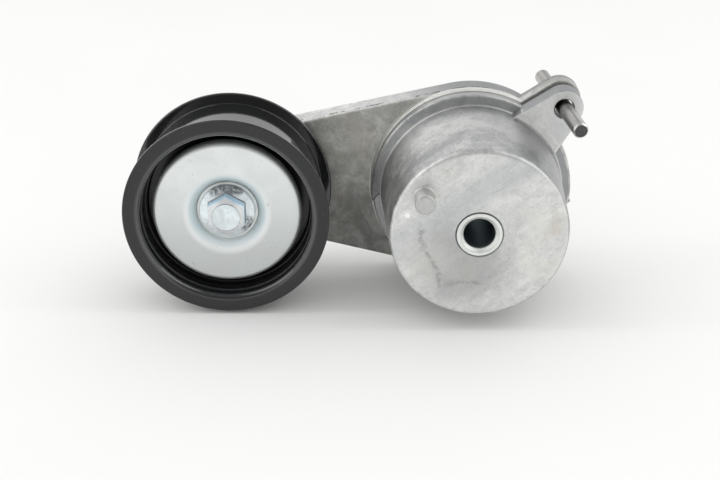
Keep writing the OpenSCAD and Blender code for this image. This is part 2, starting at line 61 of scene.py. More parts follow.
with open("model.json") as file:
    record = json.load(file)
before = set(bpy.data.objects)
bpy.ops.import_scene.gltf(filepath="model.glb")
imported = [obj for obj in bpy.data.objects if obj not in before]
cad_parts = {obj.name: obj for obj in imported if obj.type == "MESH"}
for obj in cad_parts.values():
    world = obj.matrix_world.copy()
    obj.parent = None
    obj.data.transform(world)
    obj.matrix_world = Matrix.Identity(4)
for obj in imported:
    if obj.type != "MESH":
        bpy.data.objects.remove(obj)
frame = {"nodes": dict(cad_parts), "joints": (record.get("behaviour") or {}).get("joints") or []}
CAD_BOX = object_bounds()

MM = 0.001
TINY = 1e-7
TURN = 2 * math.pi
SHARP_ANGLE = math.radians(32)

# Sides of the round forms
ROUND_STEPS = 144
DRUM_STEPS = 180
PULLEY_STEPS = 192
BORE_STEPS = 96
PIN_STEPS = 72
HOLE_STEPS = 64

# Clearances of the solid model
SEAT_FIT = 0.02 * MM
FREE_GAP = 0.3 * MM

# Half the angle that one flat of a hexagon spans
HALF_FLAT = math.pi / 6


def middle_of(node):
    """Centre of a solid's box."""
    low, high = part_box(node)
    return (low + high) / 2


def half_width(node):
    """Half of a solid's width, which is the radius of a round one."""
    low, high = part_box(node)
    return (high.x - low.x) / 2


def joint_axis(name):
    """Direction of a joint of the frame."""
    joint = next(j for j in frame["joints"] if j["name"] == name)
    return Vector(joint["axis"]).normalized()


PIVOT_CENTRE = (0.0, 0.0)
PULLEY_AT = middle_of("bearing_outer_race")
PULLEY_CENTRE = (PULLEY_AT.x, PULLEY_AT.z)
PIN_AT = middle_of("lock_pin")
PIN_ALONG = -joint_axis("lock_pin_pull")


def length(name, description, millimetres):
    """A length property with its default given in millimetres."""
    return FloatProperty(name=name, description=description, default=millimetres * MM, unit="LENGTH")


def angle(name, description, degrees):
    """An angle property with its default given in degrees."""
    return FloatProperty(name=name, description=description, default=math.radians(degrees),
                         unit="ROTATION")


def colour(name, description, red, green, blue):
    """A linear colour property."""
    return FloatVectorProperty(name=name, description=description, default=(red, green, blue),
                               subtype="COLOR", min=0.0, max=1.0)


class DrumSizes(bpy.types.PropertyGroup):
    """Sizes of the cast base drum, its stub and its lug."""

    front_radius: length("Front radius", "Radius of the drum at its mounting face", 33.9)
    rear_radius: length("Rear radius", "Radius of the drum where it meets the flange", 36.4)
    depth: length("Depth", "From the mounting face to the flange", 43.0)
    edge_round: length("Edge round", "Rounding of the drum's front edge", 2.0)
    wall: length("Wall", "Wall of the drum", 4.6)
    face: length("Face", "Thickness of the drum's front wall", 6.5)
    flange_radius: length("Flange radius", "Outside radius of the flange", 40.4)
    flange_slope: length("Flange slope", "Depth of the flange's sloped front", 1.8)
    flange_edge: length("Flange edge", "Thickness of the flange at its edge", 3.6)
    flange_round: length("Flange round", "Rounding of the flange's front edge", 1.0)
    trim_start: angle("Trim start", "Where the flange's trimmed part begins, at its foot", 180.5)
    trim_end: angle("Trim end", "Where the flange's trimmed part ends, at its foot", 345.0)
    trim_lean: angle("Trim lean", "How far the trimmed part's ends lean over the flange's width", 6.8)
    trim_depth: length("Trim depth", "Depth of the flange's trimmed part", 0.5)
    hub_radius: length("Hub radius", "Outside radius of the hub tube", 12.77)
    seat_radius: length("Seat radius", "Radius of the hole that the sleeve sits in", 8.77)
    sleeve_bore: length("Sleeve bore", "Radius of the sleeve's bore", 6.0)
    sleeve_flare: length("Sleeve flare", "Bevel at the front of the sleeve's bore", 1.2)
    stub_radius: length("Stub radius", "Radius of the locating stub", 3.9)
    stub_reach: length("Stub reach", "Length of the locating stub", 8.0)
    stub_pitch: length("Stub pitch", "Distance of the stub from the pivot axis", 25.9)
    stub_angle: angle("Stub angle", "Angle of the stub around the pivot axis", 144.0)


class LugSizes(bpy.types.PropertyGroup):
    """Sizes of the two lock lugs and the pin through them."""

    pitch: length("Pitch", "Distance of the lock hole from the pivot axis", 50.7)
    place: angle("Place", "Angle of the lock hole around the pivot axis", 46.7)
    base_end: length("Base lug end", "Radius of the base lug's round end", 7.5)
    base_thick: length("Base lug thickness", "Thickness of the base lug", 7.1)
    arm_end: length("Arm lug end", "Radius of the arm lug's round end", 8.0)
    arm_thick: length("Arm lug thickness", "Thickness of the arm lug", 8.0)
    hole_radius: length("Hole radius", "Radius of the base lug's hole", 3.8)
    upper_angle: angle("Upper side", "Direction of the lug's upper side", 32.8)
    lower_angle: angle("Lower side", "Direction of the lug's lower side", 59.4)
    hook_play: length("Hook play", "Play of the pin in the arm's hook", 0.45)
    hook_sweep: angle("Hook sweep", "Angle over which the arm's hook is open", 24.0)
    pin_radius: length("Pin radius", "Radius of the lock pin", 3.0)
    pin_length: length("Pin length", "Length of the lock pin", 59.9)
    pin_chamfer: length("Pin chamfer", "Chamfer of the pin's ends", 0.6)


class ArmSizes(bpy.types.PropertyGroup):
    """Sizes of the cast arm."""

    hub_radius: length("Hub radius", "Radius of the arm's hub", 40.4)
    ring_radius: length("Ring radius", "Radius of the ring on the front of the hub", 40.8)
    end_radius: length("End radius", "Radius of the arm's pulley end", 18.5)
    end_lift: length("End lift", "How far the middle of the pulley end lies above the pulley axis", 1.0)
    gap: length("Gap", "Gap between the base's flange and the arm's ring", 0.6)
    ring: length("Ring", "Height of the hub's ring over the arm's face", 3.9)
    depth: length("Depth", "Depth of the arm's edge", 11.1)
    web: length("Web", "Thickness of the front web", 4.5)
    wall: length("Wall", "Thickness of the edge walls", 4.0)
    rib: length("Rib", "Thickness of the ribs behind the web", 3.5)
    boss_radius: length("Boss radius", "Radius of the hub's boss", 18.62)
    bore_radius: length("Bore radius", "Radius of the hub's bore", 14.62)
    skirt_radius: length("Skirt radius", "Outside radius of the skirt in the drum", 29.73)
    skirt_wall: length("Skirt wall", "Wall of the skirt", 1.8)
    skirt_depth: length("Skirt depth", "Depth of the skirt and the hub in the drum", 5.0)
    end_boss: length("End boss", "Radius of the boss under the pulley", 13.5)
    rear_boss: length("Rear boss", "Radius of the boss behind the pulley", 16.0)
    bolt_hole: length("Bolt hole", "Radius of the pulley bolt's hole", 5.02)
    front_round: length("Front round", "Rounding of the front edge", 1.4)
    rear_round: length("Rear round", "Rounding of the rear edge", 0.7)
    ribs: IntProperty(name="Ribs", description="Number of ribs around the hub", default=6, min=3)


class PulleySizes(bpy.types.PropertyGroup):
    """Sizes of the pulley, its covers, its bearing and its bolt."""

    belt_radius: length("Belt radius", "Radius of the smooth belt surface", 35.7)
    rim: length("Rim", "Wall of the rim, the hub and the web", 2.4)
    lip: length("Lip", "Thickness of the flanges", 1.5)
    root_round: length("Root round", "Corner between belt surface and flange", 0.5)
    web_round: length("Web round", "Corners of the web", 1.6)
    inner_round: length("Inner round", "Rounding of the rim's inner edges", 2.0)
    edge_round: length("Edge round", "Rounding of the flanges' outer edges", 0.6)
    bearing_radius: length("Bearing radius", "Outside radius of the bearing", 20.0)
    bearing_bore: length("Bearing bore", "Radius of the bearing's bore", 8.5)
    dish_radius: length("Dish radius", "Radius where the front cover's dish begins", 17.6)
    seat_radius: length("Seat radius", "Radius of the front cover's flat seat", 12.3)
    cover_round: length("Cover round", "Radius of the front cover's rolled edge", 2.6)
    cover_skirt: length("Cover skirt", "Depth of the front cover's edge behind its roll", 1.8)
    sheet: length("Sheet", "Sheet thickness of the covers", 0.9)
    bolt_hole: length("Bolt hole", "Radius of the bolt's hole in the covers", 5.3)
    bolt_radius: length("Bolt radius", "Radius of the bolt's shank", 5.0)
    bolt_flange: length("Bolt flange", "Thickness of the bolt's flange at its edge", 1.3)
    bolt_cone: length("Bolt cone", "Height of the cone on the bolt's flange", 0.9)
    across_flats: length("Across flats", "Width across the flats of the bolt's hexagon", 14.0)
    ball_radius: length("Ball radius", "Radius of the bearing's balls", 3.375)
    ball_pitch: length("Ball pitch", "Radius of the circle that the balls run on", 14.25)
    balls: IntProperty(name="Balls", description="Number of balls", default=8, min=3)


class SpringSizes(bpy.types.PropertyGroup):
    """Sizes of the torsion spring."""

    mean_radius: length("Mean radius", "Mean radius of the winding", 24.2)
    wire_radius: length("Wire radius", "Radius of the wire", 2.7)
    turns: FloatProperty(name="Turns", description="Number of turns", default=5.25, min=1.0)


class Finishes(bpy.types.PropertyGroup):
    """Colours of the metals, plastics and coats."""

    drum_light: colour("Drum light", "Light parts of the drum's casting", 0.84, 0.845, 0.825)
    drum_dark: colour("Drum dark", "Dark parts of the drum's casting", 0.64, 0.65, 0.65)
    arm_light: colour("Arm light", "Light parts of the arm's casting", 0.69, 0.69, 0.66)
    arm_dark: colour("Arm dark", "Dark parts of the arm's casting", 0.40, 0.40, 0.38)
    stain: colour("Stain", "Yellowish stains on the castings", 0.50, 0.45, 0.36)
    zinc: colour("Zinc", "Zinc plated sheet", 0.84, 0.87, 0.86)
    bolt: colour("Bolt", "Bright zinc on the bolt", 0.82, 0.89, 0.92)
    sleeve: colour("Sleeve", "Pale plating on the pivot sleeve", 0.80, 0.82, 0.79)
    pin: colour("Pin", "Ground steel of the lock pin", 0.46, 0.455, 0.44)
    black: colour("Black", "Black coat of the pulley", 0.012, 0.0124, 0.013)
    spring: colour("Spring", "Oiled spring steel", 0.085, 0.085, 0.09)
    race: colour("Race", "Bearing steel", 0.52, 0.53, 0.54)
    cage: colour("Cage", "Pressed cage", 0.42, 0.36, 0.25)
    plastic: colour("Plastic", "Dark plastic of the spring bush and the damper", 0.035, 0.036, 0.04)
    bush: colour("Bush", "Pale plastic of the pivot bushes", 0.62, 0.58, 0.48)
    rubber: colour("Rubber", "Rubber of the bearing seals", 0.03, 0.024, 0.02)


class StageSettings(bpy.types.PropertyGroup):
    """Camera, floor and lights."""

    camera_at: FloatVectorProperty(name="Camera place", description="Where the camera stands",
                                   default=(-0.04495, -0.45540, 0.20450),
                                   subtype="TRANSLATION", unit="LENGTH")
    camera_drop: angle("Camera drop", "How far the camera looks down", 24.4)
    lens: FloatProperty(name="Lens", description="Focal length on a 36 mm sensor, in millimetres",
                        default=66.5, min=1.0, unit="CAMERA")
    floor: colour("Floor", "Colour of the floor", 0.84, 0.84, 0.83)
    ambient: FloatProperty(name="Ambient", description="Strength of the even light from all sides",
                           default=1.06, min=0.0)
    dark: FloatProperty(name="Dark", description="How dark the room's dark parts are in gloss",
                        default=0.70, min=0.0, max=1.0, subtype="FACTOR")
    lamp_power: FloatProperty(name="Lamp power", description="Power of each side lamp",
                              default=1.4, min=0.0, unit="POWER")
    lamp_wide: length("Lamp width", "Width of each side lamp", 170)
    lamp_tall: length("Lamp height", "Height of each side lamp", 1000)
    lamp_aside: length("Lamp aside", "How far to the side each lamp stands", 750)
    lamp_ahead: length("Lamp ahead", "How far ahead of the mounting face each lamp stands", 60)
    lamp_up: length("Lamp up", "How high each lamp stands", 750)


SETTINGS = {
    "tensioner_drum": DrumSizes,
    "tensioner_lugs": LugSizes,
    "tensioner_arm": ArmSizes,
    "tensioner_pulley": PulleySizes,
    "tensioner_spring": SpringSizes,
    "tensioner_finishes": Finishes,
    "tensioner_stage": StageSettings,
}


# Outlines and sections

def arc(centre, radius, start, sweep, steps):
    """Points of an arc, both ends included."""
    points = []
    for step in range(steps + 1):
        turn = start + sweep * step / steps
        points.append(Vector((centre[0] + radius * math.cos(turn), centre[1] + radius * math.sin(turn))))
    return points


def towards(turn):
    """Unit vector at an angle."""
    return Vector((math.cos(turn), math.sin(turn)))


def rounded(*corners, closed=True, steps=5):
    """A line through (u, v, radius) corners, with an arc at each corner that has a radius.

    A point is held close beside each arc, so that the flat beyond it shades flat.
    """
    beside = 1.12
    most_of_side = 0.44
    points = []
    for index, (u, v, radius) in enumerate(corners):
        here = Vector((u, v))
        if radius <= 0 or (not closed and index in (0, len(corners) - 1)):
            points.append(here)
            continue
        back = Vector(corners[index - 1][:2]) - here
        ahead = Vector(corners[(index + 1) % len(corners)][:2]) - here
        half = back.angle(ahead) / 2
        reach = min(radius / math.tan(half), most_of_side * back.length, most_of_side * ahead.length)
        radius = reach * math.tan(half)
        back.normalize()
        ahead.normalize()
        centre = here + (back + ahead).normalized() * radius / math.sin(half)
        first = here + back * reach - centre
        last = here + ahead * reach - centre
        start = math.atan2(first.y, first.x)
        sweep = (math.atan2(last.y, last.x) - start + math.pi) % TURN - math.pi
        points.append(here + back * reach * beside)
        points.extend(arc(centre, radius, start, sweep, steps))
        points.append(here + ahead * reach * beside)
    return points


def even_angles(steps=ROUND_STEPS):
    """Angles of a full turn in even steps."""
    return [TURN * step / steps for step in range(steps)]


def flange_front(drum):
    """Where the flange's sloped front ends and its edge begins, along Y."""
    return drum.depth + drum.flange_slope


def flange_rear(drum):
    """Rear of the flange, along Y."""
    return flange_front(drum) + drum.flange_edge


def lug_front(drum, lugs):
    """Front of the base's lug, along Y."""
    return flange_front(drum) - lugs.base_thick


def ring_front(drum, arm):
    """Front of the arm's ring, along Y."""
    return flange_rear(drum) + arm.gap


def stub_middle(drum):
    """Middle of the locating stub."""
    return drum.stub_pitch * towards(drum.stub_angle)


def arm_end(arm):
    """Middle of the arm's pulley end."""
    return Vector((PULLEY_CENTRE[0], PULLEY_CENTRE[1] + arm.end_lift))


def arm_outline(arm, inset=0.0):
    """Two circles, at the pivot and at the arm's end, with straight sides that touch both."""
    end = arm_end(arm)
    along = math.atan2(end.y, end.x)
    touch = math.acos((arm.hub_radius - arm.end_radius) / end.length)
    hub_side = arc(PIVOT_CENTRE, arm.hub_radius - inset, along + touch, TURN - 2 * touch, 96)
    return hub_side + arc(end, arm.end_radius - inset, along - touch, 2 * touch, 48)


def arm_inside(arm, point):
    """How deep a point lies inside the arm's outline."""
    end = arm_end(arm)
    along = end.normalized()
    across = abs(along.cross(point))
    ahead = along.dot(point)
    lean = (arm.hub_radius - arm.end_radius) / end.length
    side = math.sqrt(1 - lean * lean)
    reach = side * ahead - lean * across
    if reach < 0:
        return arm.hub_radius - point.length
    if reach > side * end.length:
        return arm.end_radius - (point - end).length
    return arm.hub_radius - side * across - lean * ahead


def pocket_outline(arm, pocket, inset):
    """Outline of one pocket between two ribs behind the arm's web, with soft corners.

    Rays from the pocket's middle are followed until they meet a wall.
    """
    soft = 4 * MM
    rays = 96
    strides = 80
    pulley = Vector(PULLEY_CENTRE)
    along = math.atan2(pulley.y, pulley.x)
    step = TURN / arm.ribs
    ribs = [towards(along + step * k) for k in range(arm.ribs)]

    def room(point):
        walls = [arm_inside(arm, point) - arm.wall, point.length - arm.boss_radius,
                 (point - pulley).length - arm.rear_boss]
        for rib in ribs:
            if rib.dot(point) > 0:
                walls.append(abs(rib.cross(point)) - arm.rib / 2)
        least = walls[0]
        for wall in walls[1:]:
            blend = max(soft - abs(least - wall), 0.0) / soft
            least = min(least, wall) - blend * blend * soft / 4
        return least

    turn = along + step * (pocket + 0.5)
    middle = towards(turn) * (arm.boss_radius + arm.hub_radius - arm.wall) / 2
    if pocket in (0, arm.ribs - 1):
        # The two pockets beside the long rib reach out along the arm
        middle = middle * 0.9 + pulley * 0.25
    outline = []
    for ray in even_angles(rays):
        point = middle.copy()
        for _ in range(strides):
            point += towards(ray) * (room(point) - inset)
        outline.append(point)
    return outline


def lock_hole(lugs):
    """Middle of the hole in the base's lug."""
    return lugs.pitch * towards(lugs.place)


def lug_outline(lugs, end_radius, root_radius, inset=0.0):
    """A round end joined to a round body by two straight sides."""
    centre = lock_hole(lugs)
    radius = end_radius - inset
    upper_normal = lugs.upper_angle + math.pi / 2
    lower_normal = lugs.lower_angle - math.pi / 2

    def foot(normal, direction):
        start = centre + radius * towards(normal)
        way = -towards(direction)
        dot = start.dot(way)
        return start + way * (-dot - math.sqrt(dot * dot - start.length_squared + root_radius ** 2))

    upper_foot = foot(upper_normal, lugs.upper_angle)
    lower_foot = foot(lower_normal, lugs.lower_angle)
    end = arc(centre, radius, upper_normal, lower_normal - upper_normal, 32)
    first = math.atan2(lower_foot.y, lower_foot.x)
    last = math.atan2(upper_foot.y, upper_foot.x)
    return end + arc(PIVOT_CENTRE, root_radius, first, last - first, 16)


def hook_outline(lugs, at_front, at_rear):
    """The way the lock pin leaves the arm's lug, open at its lower end."""
    radius = (at_front.length + at_rear.length) / 2
    half = lugs.pin_radius + abs(at_front.length - at_rear.length) / 2 + lugs.hook_play
    top = math.atan2(at_rear.y, at_rear.x)
    outer = arc(PIVOT_CENTRE, radius + half, top - lugs.hook_sweep, lugs.hook_sweep, 24)
    end = arc(radius * towards(top), half, top, math.pi, 16)
    inner = arc(PIVOT_CENTRE, radius - half, top, -lugs.hook_sweep, 24)
    return outer + end[1:-1] + inner


# Meshes

def lathe(bm, section, centre=PIVOT_CENTRE, angles=None, lean=None):
    """Turns a section of (radius, y) points about an axis along Y.

    The section may be a function of the angle. One that starts and ends on the axis closes there in
    poles, and any other closes on itself as a ring. lean gives an angle to add at a radius.
    """
    columns = []
    poles = {}
    for turn in angles or even_angles():
        column = []
        for index, (radius, y) in enumerate(section(turn) if callable(section) else section):
            if radius < TINY:
                if index not in poles:
                    poles[index] = bm.verts.new((centre[0], y, centre[1]))
                column.append(poles[index])
            else:
                way = turn + lean(radius) if lean else turn
                place = (centre[0] + radius * math.cos(way), y, centre[1] + radius * math.sin(way))
                column.append(bm.verts.new(place))
        columns.append(column)
    count = len(columns[0])
    for number, column in enumerate(columns):
        before = columns[number - 1]
        for index in range(count - 1 if poles else count):
            following = (index + 1) % count
            corners = (before[index], column[index], column[following], before[following])
            bm.faces.new(list(dict.fromkeys(corners)))


def slab(bm, outline, levels):
    """Stacks an outline along Y at (y, inset) levels and closes both ends."""
    loops = []
    for y, inset in levels:
        loops.append([bm.verts.new((x, y, z)) for x, z in outline(inset)])
    for near, far in zip(loops, loops[1:]):
        for index in range(len(near)):
            bm.faces.new((near[index - 1], near[index], far[index], far[index - 1]))
    bm.faces.new(loops[0])
    bm.faces.new(loops[-1])


def plate_levels(front, rear, front_round, rear_round, steps=5):
    """(y, inset) levels of a plate whose front and rear edges are rounded."""
    beside = 1.35
    ends = []
    for start, sign, radius in ((front, 1, front_round), (rear, -1, rear_round)):
        end = [(start, beside * radius)]
        for step in range(steps + 1):
            turn = math.pi / 2 * step / steps
            end.append((start + sign * radius * (1 - math.cos(turn)), radius * (1 - math.sin(turn))))
        ends.append(end)
    return ends[0] + ends[1][::-1]


def as_object(name, bm):
    """A linked object made of a bmesh, which is freed."""
    bmesh.ops.remove_doubles(bm, verts=bm.verts, dist=0.001 * MM)
    bmesh.ops.recalc_face_normals(bm, faces=bm.faces)
    mesh = bpy.data.meshes.new(name)
    bm.to_mesh(mesh)
    bm.free()
    obj = bpy.data.objects.new(name, mesh)
    bpy.context.scene.collection.objects.link(obj)
    return obj


def plain_mesh(obj):
    """The evaluated mesh of an object as a mesh of its own."""
    depsgraph = bpy.context.evaluated_depsgraph_get()
    return bpy.data.meshes.new_from_object(obj.evaluated_get(depsgraph))


def carved(body, cutter):
    """A bmesh of what is left of a body when a cutter is taken from it; both bmeshes are freed."""
    kept = as_object("carve_body", body)
    tool = as_object("carve_tool", cutter)
    modifier = kept.modifiers.new("Carve", "BOOLEAN")
    modifier.operation = "DIFFERENCE"
    modifier.solver = "EXACT"
    modifier.object = tool
    mesh = plain_mesh(kept)
    result = bmesh.new()
    result.from_mesh(mesh)
    bpy.data.meshes.remove(mesh)
    for obj in (kept, tool):
        data = obj.data
        bpy.data.objects.remove(obj)
        bpy.data.meshes.remove(data)
    if not result.faces:
        raise RuntimeError("a cut left nothing of its body")
    return result


def add_bmesh(bm, other):
    """Adds another bmesh's faces, and frees it."""
    mesh = bpy.data.meshes.new("joined")
    other.to_mesh(mesh)
    other.free()
    bm.from_mesh(mesh)
    bpy.data.meshes.remove(mesh)


def finish_piece(obj, material, body, slot, *nodes):
    """Shades a piece, gives it its material, ties it to its body, and hides the solids it stands for."""
    mesh = obj.data
    mesh.polygons.foreach_set("use_smooth", [True] * len(mesh.polygons))
    mesh.set_sharp_from_angle(angle=SHARP_ANGLE)
    mesh.materials.clear()
    mesh.materials.append(material)
    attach(obj, body)
    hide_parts(*nodes)


def turned_piece(name, section, finish, centre=PULLEY_CENTRE, angles=None):
    """Builds a piece that is one turned section; finish is what finish_piece takes after the object."""
    bm = bmesh.new()
    lathe(bm, section, centre, angles)
    finish_piece(as_object(name, bm), *finish)


def refinish(material, *nodes):
    """Gives solids that stay as they are a finished material."""
    for node in nodes:
        for holder in frame["nodes"][node].material_slots:
            holder.material = material


# Shader arithmetic

class Value:
    """A node's output that takes part in Python arithmetic, one Math node for each operation."""

    def __init__(self, wiring, socket):
        self.wiring = wiring
        self.socket = socket

    def math(self, operation, *terms):
        return self.wiring.node("ShaderNodeMath", {"operation": operation}, dict(enumerate(terms)))

    def __add__(self, other):
        return self.math("ADD", self, other)

    def __radd__(self, other):
        return self.math("ADD", other, self)

    def __sub__(self, other):
        return self.math("SUBTRACT", self, other)

    def __rsub__(self, other):
        return self.math("SUBTRACT", other, self)

    def __mul__(self, other):
        return self.math("MULTIPLY", self, other)

    def __rmul__(self, other):
        return self.math("MULTIPLY", other, self)

    def __pow__(self, other):
        return self.math("POWER", self, other)

    def __abs__(self):
        return self.math("ABSOLUTE", self)

    def most(self, other):
        """The larger of two values."""
        return self.math("MAXIMUM", self, other)

    def fade(self, low, high):
        """0 at low and 1 at high, with a soft step between; it falls where low is above high."""
        return self.wiring.node("ShaderNodeMapRange", {"interpolation_type": "SMOOTHSTEP"},
                                {0: self, 1: low, 2: high, 3: 0.0, 4: 1.0})


class Wiring:
    """Adds nodes to a tree."""

    def __init__(self, tree):
        self.tree = tree

    def node(self, kind, settings=None, sockets=None, out=0):
        """Adds a node: its settings first, then the values or links of its sockets."""
        node = self.tree.nodes.new(kind)
        for key, value in (settings or {}).items():
            setattr(node, key, value)
        for key, value in (sockets or {}).items():
            if isinstance(value, Value):
                self.tree.links.new(value.socket, node.inputs[key])
            else:
                node.inputs[key].default_value = value
        return Value(self, node.outputs[out])

    def parts(self, vector):
        """The three parts of a vector."""
        split = self.node("ShaderNodeSeparateXYZ", None, {0: vector}).socket.node
        return [Value(self, socket) for socket in split.outputs]


class Paint(Wiring):
    """A material under construction on Object coordinates."""

    def __init__(self, name, constants):
        self.material = bpy.data.materials.new(name)
        self.material.use_nodes = True
        super().__init__(self.material.node_tree)
        self.shader = self.tree.nodes["Principled BSDF"]
        for socket, value in constants.items():
            self.shader.inputs[socket].default_value = value
        self.place = self.node("ShaderNodeTexCoord", out="Object")
        self.x, self.y, self.z = self.parts(self.place)
        self.base = None

    def mapped(self, scale=(1, 1, 1), turn=(0, 0, 0)):
        """Object coordinates along turned axes, each multiplied by its scale."""
        return self.node("ShaderNodeMapping", {"vector_type": "TEXTURE"},
                         {"Vector": self.place, "Scale": [1 / s for s in scale], "Rotation": turn})

    def noise(self, scale, detail=3.0, rough=0.5, warp=0.0, at=None):
        """Fractal noise from 0 to 1."""
        return self.node("ShaderNodeTexNoise", {"noise_dimensions": "3D"},
                         {"Vector": at or self.place, "Scale": scale, "Detail": detail,
                          "Roughness": rough, "Distortion": warp})

    def mix(self, share, first, second):
        """Blend of two colours."""
        sockets = {0: share}
        for key, value in ((6, first), (7, second)):
            sockets[key] = value if isinstance(value, Value) else (*value, 1.0)
        return self.node("ShaderNodeMix", {"data_type": "RGBA"}, sockets, out=2)

    def over(self, share, tint):
        """Lays a colour over the base colour."""
        self.base = self.mix(share, self.base, tint)

    def radius(self, centre=PIVOT_CENTRE):
        """Distance from an axis along Y."""
        across = self.x - centre[0]
        up = self.z - centre[1]
        return (across * across + up * up) ** 0.5

    def spot(self, x, z, radius):
        """1 near a place on the front, in millimetres, fading to 0 at a radius."""
        core = 0.35
        return self.radius((x * MM, z * MM)).fade(radius * MM, core * radius * MM)

    def line(self, value, at, reach):
        """1 where a value is near another, fading to 0 at a distance of reach."""
        core = 0.25
        return abs(value - at).fade(reach, core * reach)

    def done(self, bump=None, bump_reach=0.0, **sockets):
        """Links the base colour and the other inputs that vary, and gives the material."""
        if bump is not None:
            sockets["normal"] = self.node("ShaderNodeBump", None, {
                "Height": bump, "Strength": 1.0, "Distance": bump_reach}, out="Normal")
        for name, value in (*sockets.items(), ("base_color", self.base)):
            self.tree.links.new(value.socket, self.shader.inputs[name.replace("_", " ").title()])
        return self.material


# Materials

def shade(tint, factor):
    """A colour made lighter or darker."""
    return tuple(min(1.0, part * factor) for part in tint)


def cast_grain(paint):
    """Three sizes of casting mottle, from broad clouds to fine grain."""
    broad = paint.noise(38, 3, 0.55, 0.6)
    mottle = paint.noise(190, 6, 0.68, 0.5)
    grain = paint.noise(1300, 4, 0.7)
    return broad, mottle, grain


def drum_face_tints(paint, face, broad, slant):
    """A dark patch of painted shade low on the face, rubbed patches, a cool band along the brushing, and a
    warm bloom on the drum's face.
    """
    # Painted shade: a dark patch over the lower middle of the face.
    patch = paint.spot(-6, -11, 26) * broad.fade(0.30, 0.52) * face
    paint.over(patch * 0.60, (0.33, 0.335, 0.335))
    rubbed = paint.noise(330, 5, 0.72, 0.8).fade(0.46, 0.66) * face
    paint.over(rubbed * 0.26, (0.40, 0.405, 0.405))
    aslant = paint.x * -math.sin(slant) + paint.z * math.cos(slant)
    cool = paint.line(aslant, 14.0 * MM, 9 * MM) * face
    paint.over(cool * 0.32, (0.44, 0.455, 0.48))
    bloom = paint.noise(72, 5, 0.65, 0.8).fade(0.42, 0.66)
    warm = (paint.spot(21, -4, 24) * bloom).most(paint.spot(-20, -12, 14) * 0.5) * face
    paint.over(warm * 0.50, (0.80, 0.79, 0.75))


def drum_stains(paint, colours, drum, face, mottle):
    """Yellowish stains on the drum's face and beside the stub, and a dull ring on the stub's end."""
    stub = stub_middle(drum)
    from_stub = paint.radius(stub)
    beside = paint.line(from_stub, drum.stub_radius + 0.9 * MM, 1.8 * MM)
    beside = beside * paint.noise(150, 3).fade(0.42, 0.60) * paint.x.fade(stub.x - 2 * MM, stub.x + 3 * MM)
    stain = beside.most(paint.noise(58, 4, 0.6, 0.5).fade(0.58, 0.76) * 0.7)
    paint.over(stain * face * 0.50, colours.stain)
    ring = paint.line(from_stub, drum.stub_radius - 0.9 * MM, 0.5 * MM) * 0.5
    end = from_stub.fade(drum.stub_radius + 0.3 * MM, drum.stub_radius - 0.2 * MM) * mottle * 0.7
    paint.over(ring.most(end) * paint.y.fade(0.1 * MM, -0.4 * MM), (0.36, 0.365, 0.36))


def drum_face_marks(paint, face):
    """Flow lines, a scratch, pits and a pale drop on the drum's face; gives the flow lines and the drop."""
    wander = (paint.noise(190, 6, 0.8, 0.9) - 0.5) * (8 * MM)
    fallen = paint.z.fade(0, -20 * MM)
    front_line = paint.line(paint.x - wander - 7.8 * MM * fallen, -22.2 * MM, 1.7 * MM)
    front_line = front_line * paint.z.fade(4 * MM, 2 * MM) * paint.z.fade(-23 * MM, -20.5 * MM)
    low_line = paint.line(paint.z - wander, -20.0 * MM, 1.2 * MM) * paint.line(paint.x, -5 * MM, 13 * MM)
    flow = front_line.most(low_line * 0.8) * face * paint.noise(420, 5, 0.75).fade(0.40, 0.62)
    scratch = paint.line(paint.z - 0.5 * paint.x, 14.8 * MM, 0.22 * MM) * paint.spot(6.4, 18, 3.4)
    pits = paint.noise(760, 3, 0.7).fade(0.58, 0.70) * (0.35 + 0.65 * paint.spot(15, -19, 22))
    marks = (flow * 0.62).most(scratch * face * 0.6).most(pits * 0.75)
    paint.over(marks * 0.66, (0.17, 0.17, 0.175))
    drop = paint.radius((-27.2 * MM, 7.9 * MM)).fade(1.2 * MM, 0.9 * MM) * face
    paint.over(drop, (0.93, 0.93, 0.91))
    return flow, drop


def drum_flange_tones(paint, drum, radius, outside):
    """Shade on the flange's slope, and the dark step on the left where its trimmed part begins."""
    slope = paint.y.fade(drum.depth + 0.1 * MM, drum.depth + 0.5 * MM)
    slope = slope * paint.y.fade(flange_front(drum) + 0.3 * MM, flange_front(drum))
    slope = slope * radius.fade(drum.rear_radius + 0.2 * MM, drum.rear_radius + 0.7 * MM)
    paint.over(slope * 0.32, (0.30, 0.31, 0.325))
    foot = drum.rear_radius * towards(drum.trim_start)
    step = drum.flange_radius * towards(drum.trim_start + drum.trim_lean) - foot
    step.normalize()
    from_step = (paint.x - foot.x) * step.y - (paint.z - foot.y) * step.x
    left = outside * paint.x.fade(-30 * MM, -34 * MM) * paint.y.fade(drum.depth, drum.depth + 0.4 * MM)
    paint.over(left * from_step.fade(0.0, -0.3 * MM) * 0.40, (0.30, 0.305, 0.31))
    paint.over(left * paint.line(from_step, 0.0, 0.6 * MM) * 0.95, (0.05, 0.05, 0.05))


def drum_edge_wear_and_highlights(paint, drum, lugs, radius, mottle):
    """1 along painted highlights: the drum's front edge and the flange's edge, broken by wear, and the
    flange's root and the lug's foot.
    """
    wear = mottle.fade(0.30, 0.60)
    rim = drum.front_radius
    front_edge = paint.line(paint.y, 0.55 * MM, 0.5 * MM) * radius.fade(rim - 2.2 * MM, rim - 1.4 * MM)
    flange_edge = paint.line(radius, drum.flange_radius - 0.5 * MM, 0.55 * MM)
    root = paint.line(paint.y, drum.depth, 0.4 * MM) * paint.line(radius, drum.rear_radius, 0.9 * MM)
    lug_foot = paint.line(paint.y, lug_front(drum, lugs), 0.7 * MM)
    lug_foot = lug_foot * paint.line(radius, drum.rear_radius - 0.4 * MM, 1.0 * MM)
    lug_foot = lug_foot * paint.spot(*(lock_hole(lugs) / MM), 24)
    return (front_edge * wear * 0.6).most(flange_edge * wear).most(root).most(lug_foot * 0.8)


